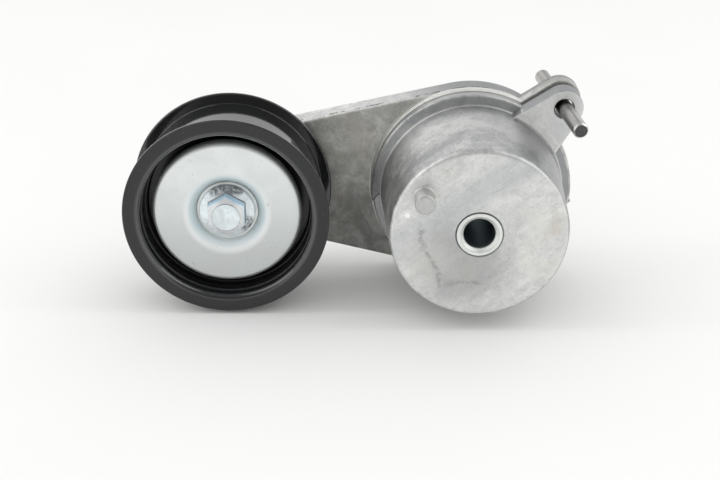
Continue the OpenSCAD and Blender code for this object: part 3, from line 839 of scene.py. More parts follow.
def cast_drum_metal(colours, drum, lugs):
    """Die-cast aluminium of the base: brushed and stained on its face, softly clouded on its side, with
    painted shade on the side and the face and painted highlights along the edges.
    """
    paint = Paint("cast_drum_metal", {})
    broad, mottle, grain = cast_grain(paint)
    radius = paint.radius()
    face = paint.y.fade(0.8 * MM, 0.2 * MM)
    outside = radius.fade(drum.rear_radius, drum.rear_radius + 1 * MM)
    slant = math.radians(38)
    brushed = paint.noise(1.0, 4, 0.65, 0.2, paint.mapped((26, 40, 460), (0, -slant, 0)))
    clouds = paint.noise(1.0, 3, 0.5, 0.4, paint.mapped((34, 60, 34)))
    tone = 0.22 * broad + 0.30 * mottle + 0.24 * grain + 0.24 * (face * brushed + (1 - face) * clouds)
    tone = tone.fade(0.40, 0.60)
    paint.base = paint.mix(tone, colours.drum_dark, colours.drum_light)
    flat = face.most(paint.line(paint.y, lug_front(drum, lugs), 0.3 * MM) * outside)
    # Painted shade: the side takes darker copies of the casting colours, darker still towards the right and
    # near the flange.
    side = paint.mix(tone, shade(colours.drum_dark, 0.58), shade(colours.drum_light, 0.88))
    side = paint.mix(paint.x.fade(-24 * MM, 26 * MM) * 0.46, side, (0.19, 0.195, 0.205))
    side = paint.mix(paint.y.fade(28 * MM, 42 * MM) * 0.42, side, (0.20, 0.205, 0.215))
    paint.over(1 - flat, side)

    drum_face_tints(paint, face, broad, slant)
    drum_stains(paint, colours, drum, face, mottle)
    flow, drop = drum_face_marks(paint, face)
    drum_flange_tones(paint, drum, radius, outside)
    smudge = paint.line(paint.y, 2.3 * MM, 0.8 * MM) * paint.noise(200, 4, 0.7).fade(0.50, 0.62)
    paint.over(smudge * 0.45, (0.22, 0.22, 0.225))
    # Painted highlights along the edges, the flange's root and the lug's foot, partly edge wear.
    wear_and_highlight = drum_edge_wear_and_highlights(paint, drum, lugs, radius, mottle)
    paint.over(wear_and_highlight * 0.60, (0.80, 0.79, 0.76))

    roughness = 0.36 + 0.22 * (mottle - 0.5) + 0.14 * grain - 0.10 * wear_and_highlight + 0.06 * face
    height = 0.60 * mottle + 0.42 * grain + 0.30 * face * brushed - 0.6 * flow
    return paint.done(height, 0.15 * MM, roughness=roughness, metallic=0.94 - 0.9 * drop)


def cast_arm_metal(colours, arm, face_y):
    """Duller casting of the arm: blotched on its face, paler on its flanks and on the hub's ring, with
    painted shade low on the face, near the pulley and on the flanks over the hub.
    """
    paint = Paint("cast_arm_metal", {"Metallic": 0.90})
    broad, mottle, grain = cast_grain(paint)
    front = paint.y.fade(face_y + 1.0 * MM, face_y + 0.3 * MM)
    ring = abs(paint.radius() - arm.hub_radius).fade(0.8 * MM, 0.6 * MM) * paint.y.fade(
        face_y + 0.6 * MM, face_y + 0.4 * MM)
    front = front * (1 - ring)
    blotch = paint.noise(85, 5, 0.6, 1.2)
    tone = (0.24 * broad + 0.36 * blotch + 0.24 * mottle + 0.16 * grain).fade(0.41, 0.59)
    paint.base = paint.mix(tone, colours.arm_dark, colours.arm_light)
    cast = (0.30 * broad + 0.34 * mottle + 0.36 * grain).fade(0.40, 0.60)
    cast = paint.mix(cast, shade(colours.drum_dark, 0.80), shade(colours.drum_light, 0.98))
    paint.over((1 - front) * 0.90, cast)
    # Painted shade on the flanks over the hub.
    painted_hub_top_shade = paint.x.fade(-36 * MM, -6 * MM) * (1 - front) * (1 - ring)
    paint.over(painted_hub_top_shade * 0.85, (0.24, 0.245, 0.25))
    paint.over(ring * 0.60, (0.66, 0.655, 0.62))

    stain = paint.noise(47, 4, 0.6, 0.8).fade(0.50, 0.70) * front
    paint.over(stain * 0.32, colours.stain)
    # Painted shade, bluish, on the face near the pulley.
    cool = paint.x.fade(-58 * MM, -76 * MM) * front
    paint.over(cool * 0.30, (0.26, 0.285, 0.31))
    # Painted shade: the face darker towards the bottom.
    painted_low_shade = paint.z.fade(22 * MM, -18 * MM) * front
    paint.over(painted_low_shade * 0.72, paint.mix(tone, (0.09, 0.09, 0.085), (0.21, 0.21, 0.20)))

    beaten = paint.line(paint.y, face_y + 1.6 * MM, 1.5 * MM)
    beaten = beaten * paint.noise(1.0, 3, 0.7, 0.4, paint.mapped((210, 420, 210))).fade(0.46, 0.64)
    paint.over(beaten * 0.35, (0.74, 0.73, 0.70))
    nicks = paint.line(paint.y, face_y + 2.0 * MM, 0.8 * MM)
    nicks = nicks * paint.noise(1.0, 2, 0.6, 0.0, paint.mapped((110, 25, 110))).fade(0.51, 0.57)
    nicks = nicks * paint.noise(420, 3, 0.7).fade(0.40, 0.52)
    paint.over(nicks * 0.85, (0.07, 0.07, 0.07))
    specks = paint.noise(380, 3, 0.7).fade(0.62, 0.74)
    paint.over(specks * 0.30, (0.14, 0.14, 0.135))

    roughness = 0.46 + 0.18 * (blotch - 0.5) + 0.12 * grain - 0.10 * ring
    height = 0.6 * mottle + 0.35 * grain + 0.4 * blotch + 0.8 * beaten - 1.6 * nicks
    return paint.done(height, 0.16 * MM, roughness=roughness)


def pulley_coat(colours, pulley, front, rear, outer):
    """Black coat: satin on the flanges' flat faces, glossy in the channel, dark in the recess."""
    paint = Paint("pulley_coat", {"IOR": 1.46, "Coat IOR": 1.5, "Coat Roughness": 0.08})
    radius = paint.radius(PULLEY_CENTRE)
    inner = pulley.belt_radius - pulley.rim
    ends = paint.y.fade(front + 0.5 * MM, front + 0.2 * MM)
    ends = ends.most(paint.y.fade(rear - 0.5 * MM, rear - 0.2 * MM))
    flat = ends * radius.fade(inner + 1.3 * MM, inner + 2.0 * MM)
    recess = radius.fade(inner + 0.5 * MM, inner - 0.3 * MM) * (1 - ends)
    cloud = paint.noise(60, 3, 0.5)
    fine = paint.noise(2200, 2, 0.6)
    rings = paint.noise(1.0, 2, 0.6, 0.0, paint.node(
        "ShaderNodeCombineXYZ", None, {0: radius * 1600, 1: paint.y * 500, 2: 0.0}))
    paint.base = paint.mix(flat, colours.black, (0.021, 0.0215, 0.022))
    paint.over(recess, (0.010, 0.0102, 0.0106))
    dust = paint.noise(520, 2, 0.6).fade(0.70, 0.76)
    lint = paint.noise(190, 4, 0.7, 0.6).fade(0.66, 0.74)
    paint.over(dust.most(lint * 0.5) * (1 - recess) * 0.14, (0.30, 0.29, 0.27))
    wear_and_highlight = paint.line(radius, outer - 0.2 * MM, 0.5 * MM) * cloud.fade(0.45, 0.65)
    paint.over(wear_and_highlight * 0.10, (0.22, 0.22, 0.22))
    roughness = 0.07 + 0.34 * flat + 0.20 * recess + 0.05 * cloud + 0.06 * dust
    height = 0.25 * fine * flat + 0.10 * rings * (1 - flat) + 0.3 * dust
    lip = paint.line(radius, inner + 0.7 * MM, 1.8 * MM) * paint.y.fade(front + 2.8 * MM, front + 1.9 * MM)
    paint.over(lip, (0.075, 0.075, 0.076))
    belt = paint.line(radius, pulley.belt_radius, 0.8 * MM) * paint.y.fade(front, front + 3 * MM)
    glossy = (1 - flat.most(recess * 0.85)).most(lip) - 0.5 * belt
    return paint.done(height, 0.010 * MM, roughness=roughness, coat_weight=glossy, metallic=lip)


def zinc_sheet(colours, dish_radius):
    """Pale bluish zinc plating on pressed sheet, softly clouded and finely speckled, with painted shade:
    darker towards the bottom, and bluish in the dish's upper part and beside the washer.
    """
    paint = Paint("zinc_sheet", {})
    cloud = paint.noise(55, 4, 0.55, 0.5)
    fine = paint.noise(1800, 3, 0.6)
    radius = paint.radius(PULLEY_CENTRE)
    dish = radius.fade(dish_radius + 0.6 * MM, dish_radius - 2.6 * MM)
    # Painted shade: the sheet darker towards the bottom.
    high = paint.z.fade(-24 * MM, 22 * MM)
    paint.base = paint.mix(high, shade(colours.zinc, 0.68), colours.zinc)
    paint.over(cloud.fade(0.35, 0.65) * 0.35, (0.64, 0.68, 0.69))
    paint.over(dish, (0.87, 0.88, 0.87))
    # Painted shade, bluish, in the dish's upper part and in a ring beside the washer.
    painted_dish_shade = dish * paint.z.fade(-9 * MM, 11 * MM) * 0.5
    painted_dish_shade = painted_dish_shade.most(radius.fade(dish_radius - 1.0 * MM, dish_radius - 3.6 * MM))
    painted_dish_shade = painted_dish_shade * (0.6 + 0.4 * paint.z.fade(-13 * MM, -5 * MM))
    paint.over(painted_dish_shade * 0.8, (0.58, 0.68, 0.70))
    specks = paint.noise(600, 2, 0.5).fade(0.70, 0.76)
    paint.over(specks * 0.4, (0.30, 0.28, 0.24))
    roughness = 0.34 + 0.10 * cloud + 0.06 * fine - 0.06 * dish
    return paint.done(0.5 * fine + 0.3 * cloud, 0.016 * MM, roughness=roughness,
                      metallic=0.80 - 0.74 * dish)


def bolt_zinc(colours, half_flats, top_radius, cone_y):
    """Bright bluish zinc on the forged bolt, with painted reflections and painted shade on its hexagon and
    flange.
    """
    paint = Paint("bolt_zinc", {})
    cloud = paint.noise(170, 4, 0.6, 0.6)
    patch = paint.noise(210, 3, 0.6, 1.0)
    fine = paint.noise(2600, 2, 0.6)
    across = abs(paint.x - PULLEY_CENTRE[0])
    up = abs(paint.z - PULLEY_CENTRE[1])
    flats = across.most(math.sin(HALF_FLAT) * across + math.cos(HALF_FLAT) * up)
    radius = paint.radius(PULLEY_CENTRE)
    paint.base = paint.mix(cloud.fade(0.34, 0.62), colours.bolt, shade(colours.bolt, 0.80))
    # Painted reflection: the hexagon's sides bright blue, and less metallic so that they stay bright.
    sides = paint.line(flats, half_flats, 0.25 * MM) * paint.y.fade(cone_y, cone_y - 0.3 * MM)
    paint.over(sides * 0.95, (0.60, 0.82, 1.0))
    bevel = radius.fade(top_radius + 0.1 * MM, top_radius + 0.5 * MM)
    bevel = bevel * flats.fade(half_flats - 0.1 * MM, half_flats - 0.4 * MM)
    paint.over(bevel * 0.7, (0.74, 0.735, 0.73))
    cone = flats.fade(half_flats + 0.2 * MM, half_flats + 0.6 * MM)
    high = (paint.z - PULLEY_CENTRE[1]).fade(5.5 * MM, 8.5 * MM) * across.fade(7.5 * MM, 5.5 * MM)
    low_right = paint.spot(PULLEY_CENTRE[0] / MM + 7.8, PULLEY_CENTRE[1] / MM - 4.8, 4.5)
    # Painted dark reflections as patches on the flange's cone, mostly at its top and lower right, with
    # fainter ones all round.
    dull = (patch.fade(0.40, 0.56) * high).most(patch.fade(0.22, 0.42) * low_right)
    dull = dull.most(patch.fade(0.62, 0.72) * 0.3) * cone * paint.noise(900, 4, 0.7).fade(0.28, 0.56)
    # Painted shade on the lower half of the cone.
    low = (paint.z - PULLEY_CENTRE[1]).fade(-2 * MM, -9 * MM)
    paint.over(cone * low * 0.35, (0.40, 0.42, 0.43))
    paint.over(dull * 0.90, (0.10, 0.105, 0.11))
    # Painted shade lines at the hexagon's foot and round its top.
    lines = paint.line(flats, half_flats + 0.25 * MM, 0.3 * MM) * paint.y.fade(cone_y - 0.5 * MM, cone_y)
    lines = lines.most(paint.line(radius, top_radius + 0.1 * MM, 0.22 * MM) * 0.45)
    paint.over(lines * 0.8, (0.12, 0.13, 0.14))
    roughness = 0.18 + 0.10 * cloud + 0.06 * fine + 0.08 * dull
    return paint.done(0.4 * fine + 0.2 * cloud, 0.010 * MM, roughness=roughness,
                      metallic=0.95 - 0.65 * sides.most(bevel * 0.8))


def sleeve_zinc(colours, sleeve_radius, bore_radius):
    """Pale plating on the pivot sleeve's end, a bright lip, and painted shade in the bore, darker deeper in.
    """
    paint = Paint("sleeve_zinc", {})
    radius = paint.radius()
    cloud = paint.noise(170, 4, 0.6, 0.6)
    fine = paint.noise(2600, 2, 0.6)
    paint.base = paint.mix(cloud.fade(0.34, 0.62), shade(colours.sleeve, 0.88), colours.sleeve)
    outline = paint.line(radius, sleeve_radius, 0.28 * MM).most(
        paint.line(radius, bore_radius + 1.35 * MM, 0.16 * MM) * 0.5)
    paint.over(outline * 0.75, (0.14, 0.14, 0.14))
    # Painted shade in the bore, darker deeper in.
    inside = radius.fade(bore_radius + 0.35 * MM, bore_radius + 0.05 * MM) * paint.y.fade(1.2 * MM, 3.0 * MM)
    deep = paint.y.fade(5 * MM, 40 * MM)
    paint.over(inside, (0.19, 0.23, 0.26))
    paint.over(inside * deep, (0.13, 0.17, 0.19))
    bevel = paint.line(radius, bore_radius + 0.6 * MM, 1.1 * MM) * paint.y.fade(1.5 * MM, 1.1 * MM)
    roughness = 0.24 + 0.10 * cloud + 0.06 * fine + 0.12 * inside
    return paint.done(0.4 * fine + 0.3 * cloud, 0.014 * MM, roughness=roughness,
                      metallic=0.96 - 0.5 * bevel)


def plain_zinc(colours):
    """Duller zinc on stamped plates, washers and the spacer; made once and shared."""
    made = bpy.data.materials.get("plain_zinc")
    if made:
        return made
    paint = Paint("plain_zinc", {"Metallic": 0.95})
    cloud = paint.noise(120, 4, 0.6, 0.5)
    fine = paint.noise(2000, 2, 0.6)
    paint.base = paint.mix(cloud.fade(0.30, 0.70), shade(colours.zinc, 0.70), shade(colours.zinc, 0.92))
    roughness = 0.32 + 0.12 * cloud + 0.06 * fine
    return paint.done(0.5 * fine + 0.4 * cloud, 0.02 * MM, roughness=roughness)


def ground_pin_steel(colours, pin_length):
    """Ground steel pin: lengthwise streaks, dark scuffs, and dull ends with bright bevels."""
    paint = Paint("ground_pin_steel", {"Metallic": 1.0})
    lean = PIN_ALONG.to_track_quat("Y", "Z").to_euler()
    streaks = paint.noise(1.0, 3, 0.6, 0.0, paint.mapped((820, 18, 820), tuple(lean)))
    cloud = paint.noise(140, 4, 0.6, 0.6)
    scuffs = paint.noise(240, 4, 0.7, 1.0).fade(0.60, 0.72)
    paint.base = paint.mix(streaks.fade(0.34, 0.66), shade(colours.pin, 0.55), colours.pin)
    paint.over(scuffs * 0.40, (0.15, 0.145, 0.14))
    ahead = paint.node("ShaderNodeVectorMath", {"operation": "DOT_PRODUCT"},
                       {0: paint.place, 1: tuple(PIN_ALONG)}, out="Value")
    from_end = pin_length / 2 - abs(ahead - PIN_AT.dot(PIN_ALONG))
    end_face = from_end.fade(0.06 * MM, 0.03 * MM)
    bevel = from_end.fade(0.9 * MM, 0.7 * MM) * (1 - end_face)
    paint.over(end_face * 0.90, (0.06, 0.06, 0.062))
    paint.over(bevel * 0.8, (0.78, 0.78, 0.77))
    roughness = 0.20 + 0.12 * cloud + 0.10 * scuffs + 0.2 * end_face
    return paint.done(0.6 * streaks, 0.010 * MM, roughness=roughness)


def oiled_spring_steel(colours):
    """Dark oil-tempered wire."""
    paint = Paint("oiled_spring_steel", {"Metallic": 0.85})
    scale = paint.noise(220, 4, 0.6, 0.5)
    fine = paint.noise(1800, 2, 0.6)
    paint.base = paint.mix(scale.fade(0.4, 0.7), colours.spring, (0.17, 0.165, 0.16))
    roughness = 0.34 + 0.18 * scale
    return paint.done(0.6 * fine + scale, 0.02 * MM, roughness=roughness)


def bearing_steel(colours):
    """Ground and polished bearing steel."""
    paint = Paint("bearing_steel", {"Metallic": 1.0})
    turned = paint.noise(1.0, 2, 0.6, 0.0, paint.node(
        "ShaderNodeCombineXYZ", None, {0: paint.radius(PULLEY_CENTRE) * 2400, 1: paint.y * 2400, 2: 0.0}))
    cloud = paint.noise(90, 3, 0.5)
    paint.base = paint.mix(cloud.fade(0.35, 0.65), colours.race, (0.62, 0.63, 0.64))
    roughness = 0.16 + 0.10 * turned + 0.05 * cloud
    return paint.done(turned, 0.006 * MM, roughness=roughness)


def pressed_cage_steel(colours):
    """Pressed cage strip with a warm tint."""
    paint = Paint("pressed_cage_steel", {"Metallic": 0.9})
    cloud = paint.noise(260, 4, 0.6, 0.4)
    paint.base = paint.mix(cloud.fade(0.35, 0.65), colours.cage, (0.30, 0.26, 0.19))
    roughness = 0.32 + 0.18 * cloud
    return paint.done(cloud, 0.02 * MM, roughness=roughness)


def moulded(name, pale, dark, base_roughness):
    """Moulded plastic or rubber with faint flow clouds and a fine skin."""
    paint = Paint(name, {"Metallic": 0.0, "IOR": 1.5})
    cloud = paint.noise(75, 3, 0.5, 0.6)
    skin = paint.noise(2400, 3, 0.6)
    paint.base = paint.mix(cloud.fade(0.35, 0.65), dark, pale)
    roughness = base_roughness + 0.12 * cloud + 0.10 * skin
    return paint.done(skin + 0.5 * cloud, 0.02 * MM, roughness=roughness)


# Geometry Nodes

class Grower(Wiring):
    """A Geometry Nodes tree with named inputs, and the piece that it grows."""

    def __init__(self, name):
        super().__init__(bpy.data.node_groups.new(name, "GeometryNodeTree"))
        self.tree.interface.new_socket("Geometry", in_out="OUTPUT", socket_type="NodeSocketGeometry")
        self.values = {}
        self.source = self.tree.nodes.new("NodeGroupInput")

    def input(self, name, kind, value):
        """A named input of the tree."""
        socket = self.tree.interface.new_socket(name, in_out="INPUT", socket_type=kind)
        self.values[socket.identifier] = value
        return Value(self, self.source.outputs[name])

    def grown(self, name, geometry, material):
        """Ends the tree, runs it, and gives the result as a plain mesh object."""
        smooth = self.node("GeometryNodeSetShadeSmooth", None, {"Geometry": geometry})
        real = self.node("GeometryNodeRealizeInstances", None, {"Geometry": smooth})
        finish = self.input("Finish", "NodeSocketMaterial", material)
        painted = self.node("GeometryNodeSetMaterial", None, {"Geometry": real, "Material": finish})
        sink = self.tree.nodes.new("NodeGroupOutput")
        self.tree.links.new(painted.socket, sink.inputs[0])
        obj = bpy.data.objects.new(name, bpy.data.meshes.new(name))
        bpy.context.scene.collection.objects.link(obj)
        modifier = obj.modifiers.new("Grow", "NODES")
        modifier.node_group = self.tree
        for identifier, value in self.values.items():
            modifier[identifier] = value
        mesh = plain_mesh(obj)
        obj.modifiers.clear()
        obj.data = mesh
        if not mesh.polygons:
            raise RuntimeError(f"{name} grew no faces")
        return obj


# Pieces

def stop_block(bm, spring, turn, side, front, rear):
    """The block that one cut end of the spring bears on, ahead of it or behind it."""
    thick = 5 * MM
    away = SEAT_FIT if side > 0 else -SEAT_FIT - thick
    spin = -TURN * turn
    inner = spring.mean_radius - spring.wire_radius
    outer = spring.mean_radius + spring.wire_radius

    def outline(inset):
        corners = ((inner + inset, away + inset), (outer - inset, away + inset),
                   (outer - inset, away + thick - inset), (inner + inset, away + thick - inset))
        return [Matrix.Rotation(spin, 2) @ Vector(corner) for corner in corners]

    slab(bm, outline, plate_levels(front, rear, 0.3 * MM, 0.3 * MM))


def drum_section(drum, trimmed):
    """Half section of the drum; in its trimmed part the flange is lower and stepped."""
    front_y = flange_front(drum)
    rear_y = flange_rear(drum)
    flange_r = drum.flange_radius
    slope = drum.flange_slope / (drum.flange_radius - drum.rear_radius)
    step_r = drum.rear_radius + 0.8 * MM
    step_end = step_r + 0.1 * MM
    step_y = drum.depth + slope * (step_end - drum.rear_radius)
    if trimmed:
        front_y += drum.trim_depth
        flange_r -= drum.trim_depth
        step_y = front_y
    land_r = drum.rear_radius - drum.wall
    land_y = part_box("damper_ring")[0].y - FREE_GAP
    hub_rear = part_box("thrust_washer")[1].y
    bevel = 0.55 * MM
    return rounded(
        (drum.seat_radius + bevel, 0, 0.15 * MM),
        (drum.front_radius, 0, drum.edge_round),
        (drum.rear_radius, drum.depth, 0.3 * MM),
        (step_r, drum.depth + slope * (step_r - drum.rear_radius), 0),
        (step_end, step_y, 0),
        (flange_r, front_y, drum.flange_round),
        (flange_r, rear_y, 0.4 * MM),
        (land_r, rear_y, 0.3 * MM),
        (land_r, land_y, 0),
        (land_r - 0.6 * MM, land_y, 0),
        (drum.front_radius - drum.wall, drum.face, 1.2 * MM),
        (drum.hub_radius, drum.face, 1.2 * MM),
        (drum.hub_radius, hub_rear, 0.3 * MM),
        (drum.seat_radius, hub_rear, 0.2 * MM),
        (drum.seat_radius, bevel, 0),
    )


def drum_angles(drum):
    """Even angles, with a close pair at each end of the flange's trimmed part."""
    close = math.radians(0.12)
    ends = (drum.trim_start, drum.trim_end)
    angles = [a for a in even_angles(DRUM_STEPS) if min(abs(a - e) for e in ends) > 4 * close]
    for end in ends:
        angles += [end - close, end + close]
    return sorted(angles)


class TENSIONER_OT_drum(bpy.types.Operator):
    """Builds the cast base drum with its flange, lock lug and locating stub."""

    bl_idname = "tensioner.drum"
    bl_label = "Base drum"

    def execute(self, context):
        scene = context.scene
        drum = scene.tensioner_drum
        lugs = scene.tensioner_lugs
        spring = scene.tensioner_spring
        sunk = 0.2 * MM
        bm = bmesh.new()
        self.body(bm, drum)
        self.nub(bm, drum)
        self.stub(bm, drum)
        add_bmesh(bm, self.lug(drum, lugs))
        stop_block(bm, spring, 0.0, 1, drum.face - sunk, drum.face + 2 * spring.wire_radius)
        material = cast_drum_metal(scene.tensioner_finishes, drum, lugs)
        finish_piece(as_object("drum_casting", bm), material, "base", "cast_base", "base_housing")
        return {"FINISHED"}

    def body(self, bm, drum):
        """The turned drum, whose flange is trimmed over part of its turn, with leaning ends."""
        whole = drum_section(drum, False)
        cut = drum_section(drum, True)
        flange_width = drum.flange_radius - drum.rear_radius

        def section(turn):
            return cut if drum.trim_start < turn < drum.trim_end else whole

        def lean(radius):
            return drum.trim_lean * max(0.0, radius - drum.rear_radius) / flange_width

        lathe(bm, section, PIVOT_CENTRE, drum_angles(drum), lean)

    def nub(self, bm, drum):
        """A small lump on the flange's edge, above the end of its trimmed part."""
        size = 0.9 * MM
        at = drum.flange_radius * towards(drum.trim_end + drum.trim_lean + math.radians(0.5))
        place = Matrix.Translation((at.x, flange_rear(drum) - 2 * size, at.y))
        bmesh.ops.create_icosphere(bm, subdivisions=3, radius=size, matrix=place)

    def stub(self, bm, drum):
        """The locating stub, which grows out of the mounting face with a small fillet."""
        sunk = 0.02 * MM
        root = 1 * MM
        end = -drum.stub_reach
        foot = drum.stub_radius + 1.6 * MM
        lathe(bm, rounded(
            (0, end, 0), (drum.stub_radius, end, 0.9 * MM), (drum.stub_radius, sunk, 0.9 * MM),
            (foot, sunk, 0), (foot, root, 0), (0, root, 0),
            closed=False), stub_middle(drum), even_angles(HOLE_STEPS))

    def lug(self, drum, lugs):
        """The base's lock lug, with a hole that is flared at both ends."""
        past = 1 * MM
        flare = 0.35 * MM
        front = lug_front(drum, lugs)
        rear = flange_front(drum) + past
        root = drum.rear_radius - past
        body = bmesh.new()
        slab(body, lambda inset: lug_outline(lugs, lugs.base_end, root, inset),
             plate_levels(front, rear, 0.7 * MM, 0.5 * MM))
        hole = bmesh.new()
        inner = lugs.hole_radius
        outer = inner + flare
        lathe(hole, [(0, front - past), (outer, front - past), (outer, front), (inner, front + flare),
                     (inner, rear - flare), (outer, rear), (outer, rear + past), (0, rear + past)],
              lock_hole(lugs), even_angles(HOLE_STEPS))
        return carved(body, hole)


class TENSIONER_OT_pivot_steel(bpy.types.Operator):
    """Builds the steel sleeve with its rounded bore edge, and the plate at its rear end."""

    bl_idname = "tensioner.pivot_steel"
    bl_label = "Sleeve and rear plate"

    def execute(self, context):
        drum = context.scene.tensioner_drum
        finishes = context.scene.tensioner_finishes
        low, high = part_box("pivot_sleeve")
        plate_low, plate_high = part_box("retaining_plate")
        seat = drum.seat_radius
        outer = seat - SEAT_FIT
        bore = drum.sleeve_bore
        flare = drum.sleeve_flare
        lip = high.x
        zinc = sleeve_zinc(finishes, outer, bore)
        turned_piece("sleeve_steel", rounded(
            (bore, low.y + flare, 0.9 * MM), (bore + flare, low.y, 0.3 * MM), (outer, low.y, 0.3 * MM),
            (outer, plate_high.y, 0), (lip, plate_high.y, 0.1 * MM), (lip, high.y, 0.9 * MM),
            (bore, high.y, 0.4 * MM), steps=8),
            (zinc, "base", "zinc_steel", "pivot_sleeve"), PIVOT_CENTRE)
        turned_piece("rear_plate", rounded(
            (seat, plate_low.y, 0.2 * MM), (plate_high.x, plate_low.y, 0.3 * MM),
            (plate_high.x, plate_high.y, 1.0 * MM), (seat, plate_high.y, 0.2 * MM)),
            (plain_zinc(finishes), "base", "zinc_sheet", "retaining_plate"), PIVOT_CENTRE)
        return {"FINISHED"}


class TENSIONER_OT_spring(bpy.types.Operator):
    """Winds the torsion spring from a round wire."""

    bl_idname = "tensioner.spring"
    bl_label = "Torsion spring"

    def execute(self, context):
        spring = context.scene.tensioner_spring
        low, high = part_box("torsion_spring")
        start = low.y + spring.wire_radius
        rise = high.y - low.y - 2 * spring.wire_radius
        grower = Grower("spring_winding")
        radius = grower.input("Mean radius", "NodeSocketFloat", spring.mean_radius)
        turns = grower.input("Turns", "NodeSocketFloat", spring.turns)
        height = grower.input("Height", "NodeSocketFloat", rise)
        wire = grower.input("Wire radius", "NodeSocketFloat", spring.wire_radius)
        line = grower.node("GeometryNodeCurveSpiral", None, {
            "Resolution": 64, "Rotations": turns, "Start Radius": radius, "End Radius": radius,
            "Height": height})
        placed = grower.node("GeometryNodeTransform", None, {
            "Geometry": line, "Rotation": (-math.pi / 2, 0, 0), "Translation": (0, start, 0)})
        round_wire = grower.node("GeometryNodeCurvePrimitiveCircle", {"mode": "RADIUS"},
                                 {"Resolution": 24, "Radius": wire})
        tube = grower.node("GeometryNodeCurveToMesh", None, {
            "Curve": placed, "Profile Curve": round_wire, "Fill Caps": True})
        material = oiled_spring_steel(context.scene.tensioner_finishes)
        obj = grower.grown("spring_wire", tube, material)
        finish_piece(obj, material, "base", "spring_steel", "torsion_spring")
        return {"FINISHED"}


class TENSIONER_OT_arm(bpy.types.Operator):
    """Builds the cast arm with its hub, lock lug and ribbed back."""

    bl_idname = "tensioner.arm"
    bl_label = "Arm"

    def execute(self, context):
        scene = context.scene
        arm = scene.tensioner_arm
        drum = scene.tensioner_drum
        lugs = scene.tensioner_lugs
        ring_y = ring_front(drum, arm)
        face_y = ring_y + arm.ring
        rear_y = face_y + arm.depth
        web_y = face_y + arm.web
        hub_y = ring_y - arm.skirt_depth
        plate = bmesh.new()
        slab(plate, lambda inset: arm_outline(arm, inset), self.edge_levels(arm, face_y, rear_y))
        bm = carved(plate, self.cutters(arm, web_y, face_y, rear_y))
        sunk = 1 * MM
        lathe(bm, self.ring_section(arm, ring_y, face_y, sunk))
        for inner, outer, front, centre in (
                (arm.bore_radius, arm.boss_radius, hub_y, PIVOT_CENTRE),
                (arm.skirt_radius - arm.skirt_wall, arm.skirt_radius, hub_y, PIVOT_CENTRE),
                (arm.bolt_hole, arm.end_boss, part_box("pulley_spacer")[1].y, PULLEY_CENTRE)):
            lathe(bm, rounded((inner, front, 0.3 * MM), (outer, front, 0.4 * MM),
                              (outer, face_y + sunk, 0), (inner, face_y + sunk, 0)), centre)
        add_bmesh(bm, self.lug(lugs, arm, ring_y))
        spring = scene.tensioner_spring
        spring_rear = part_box("torsion_spring")[1].y
        stop_block(bm, spring, spring.turns, -1, spring_rear - 2 * spring.wire_radius, face_y)
        material = cast_arm_metal(scene.tensioner_finishes, arm, face_y)
        finish_piece(as_object("arm_casting", bm), material, "arm", "cast_arm", "tensioner_arm")
        return {"FINISHED"}

    def ring_section(self, arm, front, face, sunk):
        """Section of the ring on the hub's front, with a fine groove round its middle."""
        groove = 0.35 * MM
        middle = front + 0.45 * arm.ring
        back = face + 0.5 * MM
        rim = arm.ring_radius
        under = rim - 2 * MM
        return rounded(
            (arm.bore_radius, front, 0.3 * MM), (rim, front, 0.6 * MM), (rim, middle - groove, 0.25 * MM),
            (rim - groove, middle, 0.1 * MM), (rim, middle + groove, 0.25 * MM), (rim, back, 0.3 * MM),
            (under, back, 0), (under, face + sunk, 0), (arm.bore_radius, face + sunk, 0))

    def edge_levels(self, arm, front, rear):
        """Levels of the arm's edge: rounded, drafted both ways from a raised parting line."""
        draft = 0.12 * MM
        ridge = 0.3 * MM
        parting = front + arm.front_round + 2 * ridge
        rounds = plate_levels(front, rear, arm.front_round, arm.rear_round)
        half = len(rounds) // 2
        levels = [(y, inset + draft) for y, inset in rounds[:half]]
        levels += [(parting - ridge, draft / 2), (parting, 0.0), (parting + ridge, draft / 2)]
        levels += [(y, inset + draft) for y, inset in rounds[half:]]
        return levels

    def cutters(self, arm, web, face, rear):
        """The pockets between the ribs, the hub's bore and the bolt's hole."""
        bm = bmesh.new()
        past = 1 * MM
        flare = 0.4 * MM
        levels = ((web, 1.4 * MM), (web + 0.35 * MM, 0.55 * MM), (web + 1.2 * MM, 0.12 * MM),
                  (rear - 0.6 * MM, -0.1 * MM), (rear, -0.55 * MM), (rear + past, -0.55 * MM))
        for pocket in range(arm.ribs):
            slab(bm, lambda inset: pocket_outline(arm, pocket, inset), levels)
        for radius, centre in ((arm.bore_radius, PIVOT_CENTRE), (arm.bolt_hole, PULLEY_CENTRE)):
            lathe(bm, [(0, face - past), (radius, face - past), (radius, rear - flare),
                       (radius + flare, rear), (radius + flare, rear + past), (0, rear + past)],
                  centre, even_angles(BORE_STEPS))
        return bm

    def lug(self, lugs, arm, front):
        """The arm's lock lug, with the hook that the pin rests in."""
        past = 1 * MM
        rear = front + lugs.arm_thick
        root = arm.hub_radius - 3 * MM
        body = bmesh.new()
        slab(body, lambda inset: lug_outline(lugs, lugs.arm_end, root, inset),
             plate_levels(front, rear, 0.7 * MM, 0.7 * MM))

        def pin_at(y):
            step = (y - PIN_AT.y) / PIN_ALONG.y
            return Vector((PIN_AT.x + PIN_ALONG.x * step, PIN_AT.z + PIN_ALONG.z * step))

        hook = bmesh.new()
        outline = hook_outline(lugs, pin_at(front), pin_at(rear))
        slab(hook, lambda inset: outline, ((front - past, 0), (rear + past, 0)))
        return carved(body, hook)


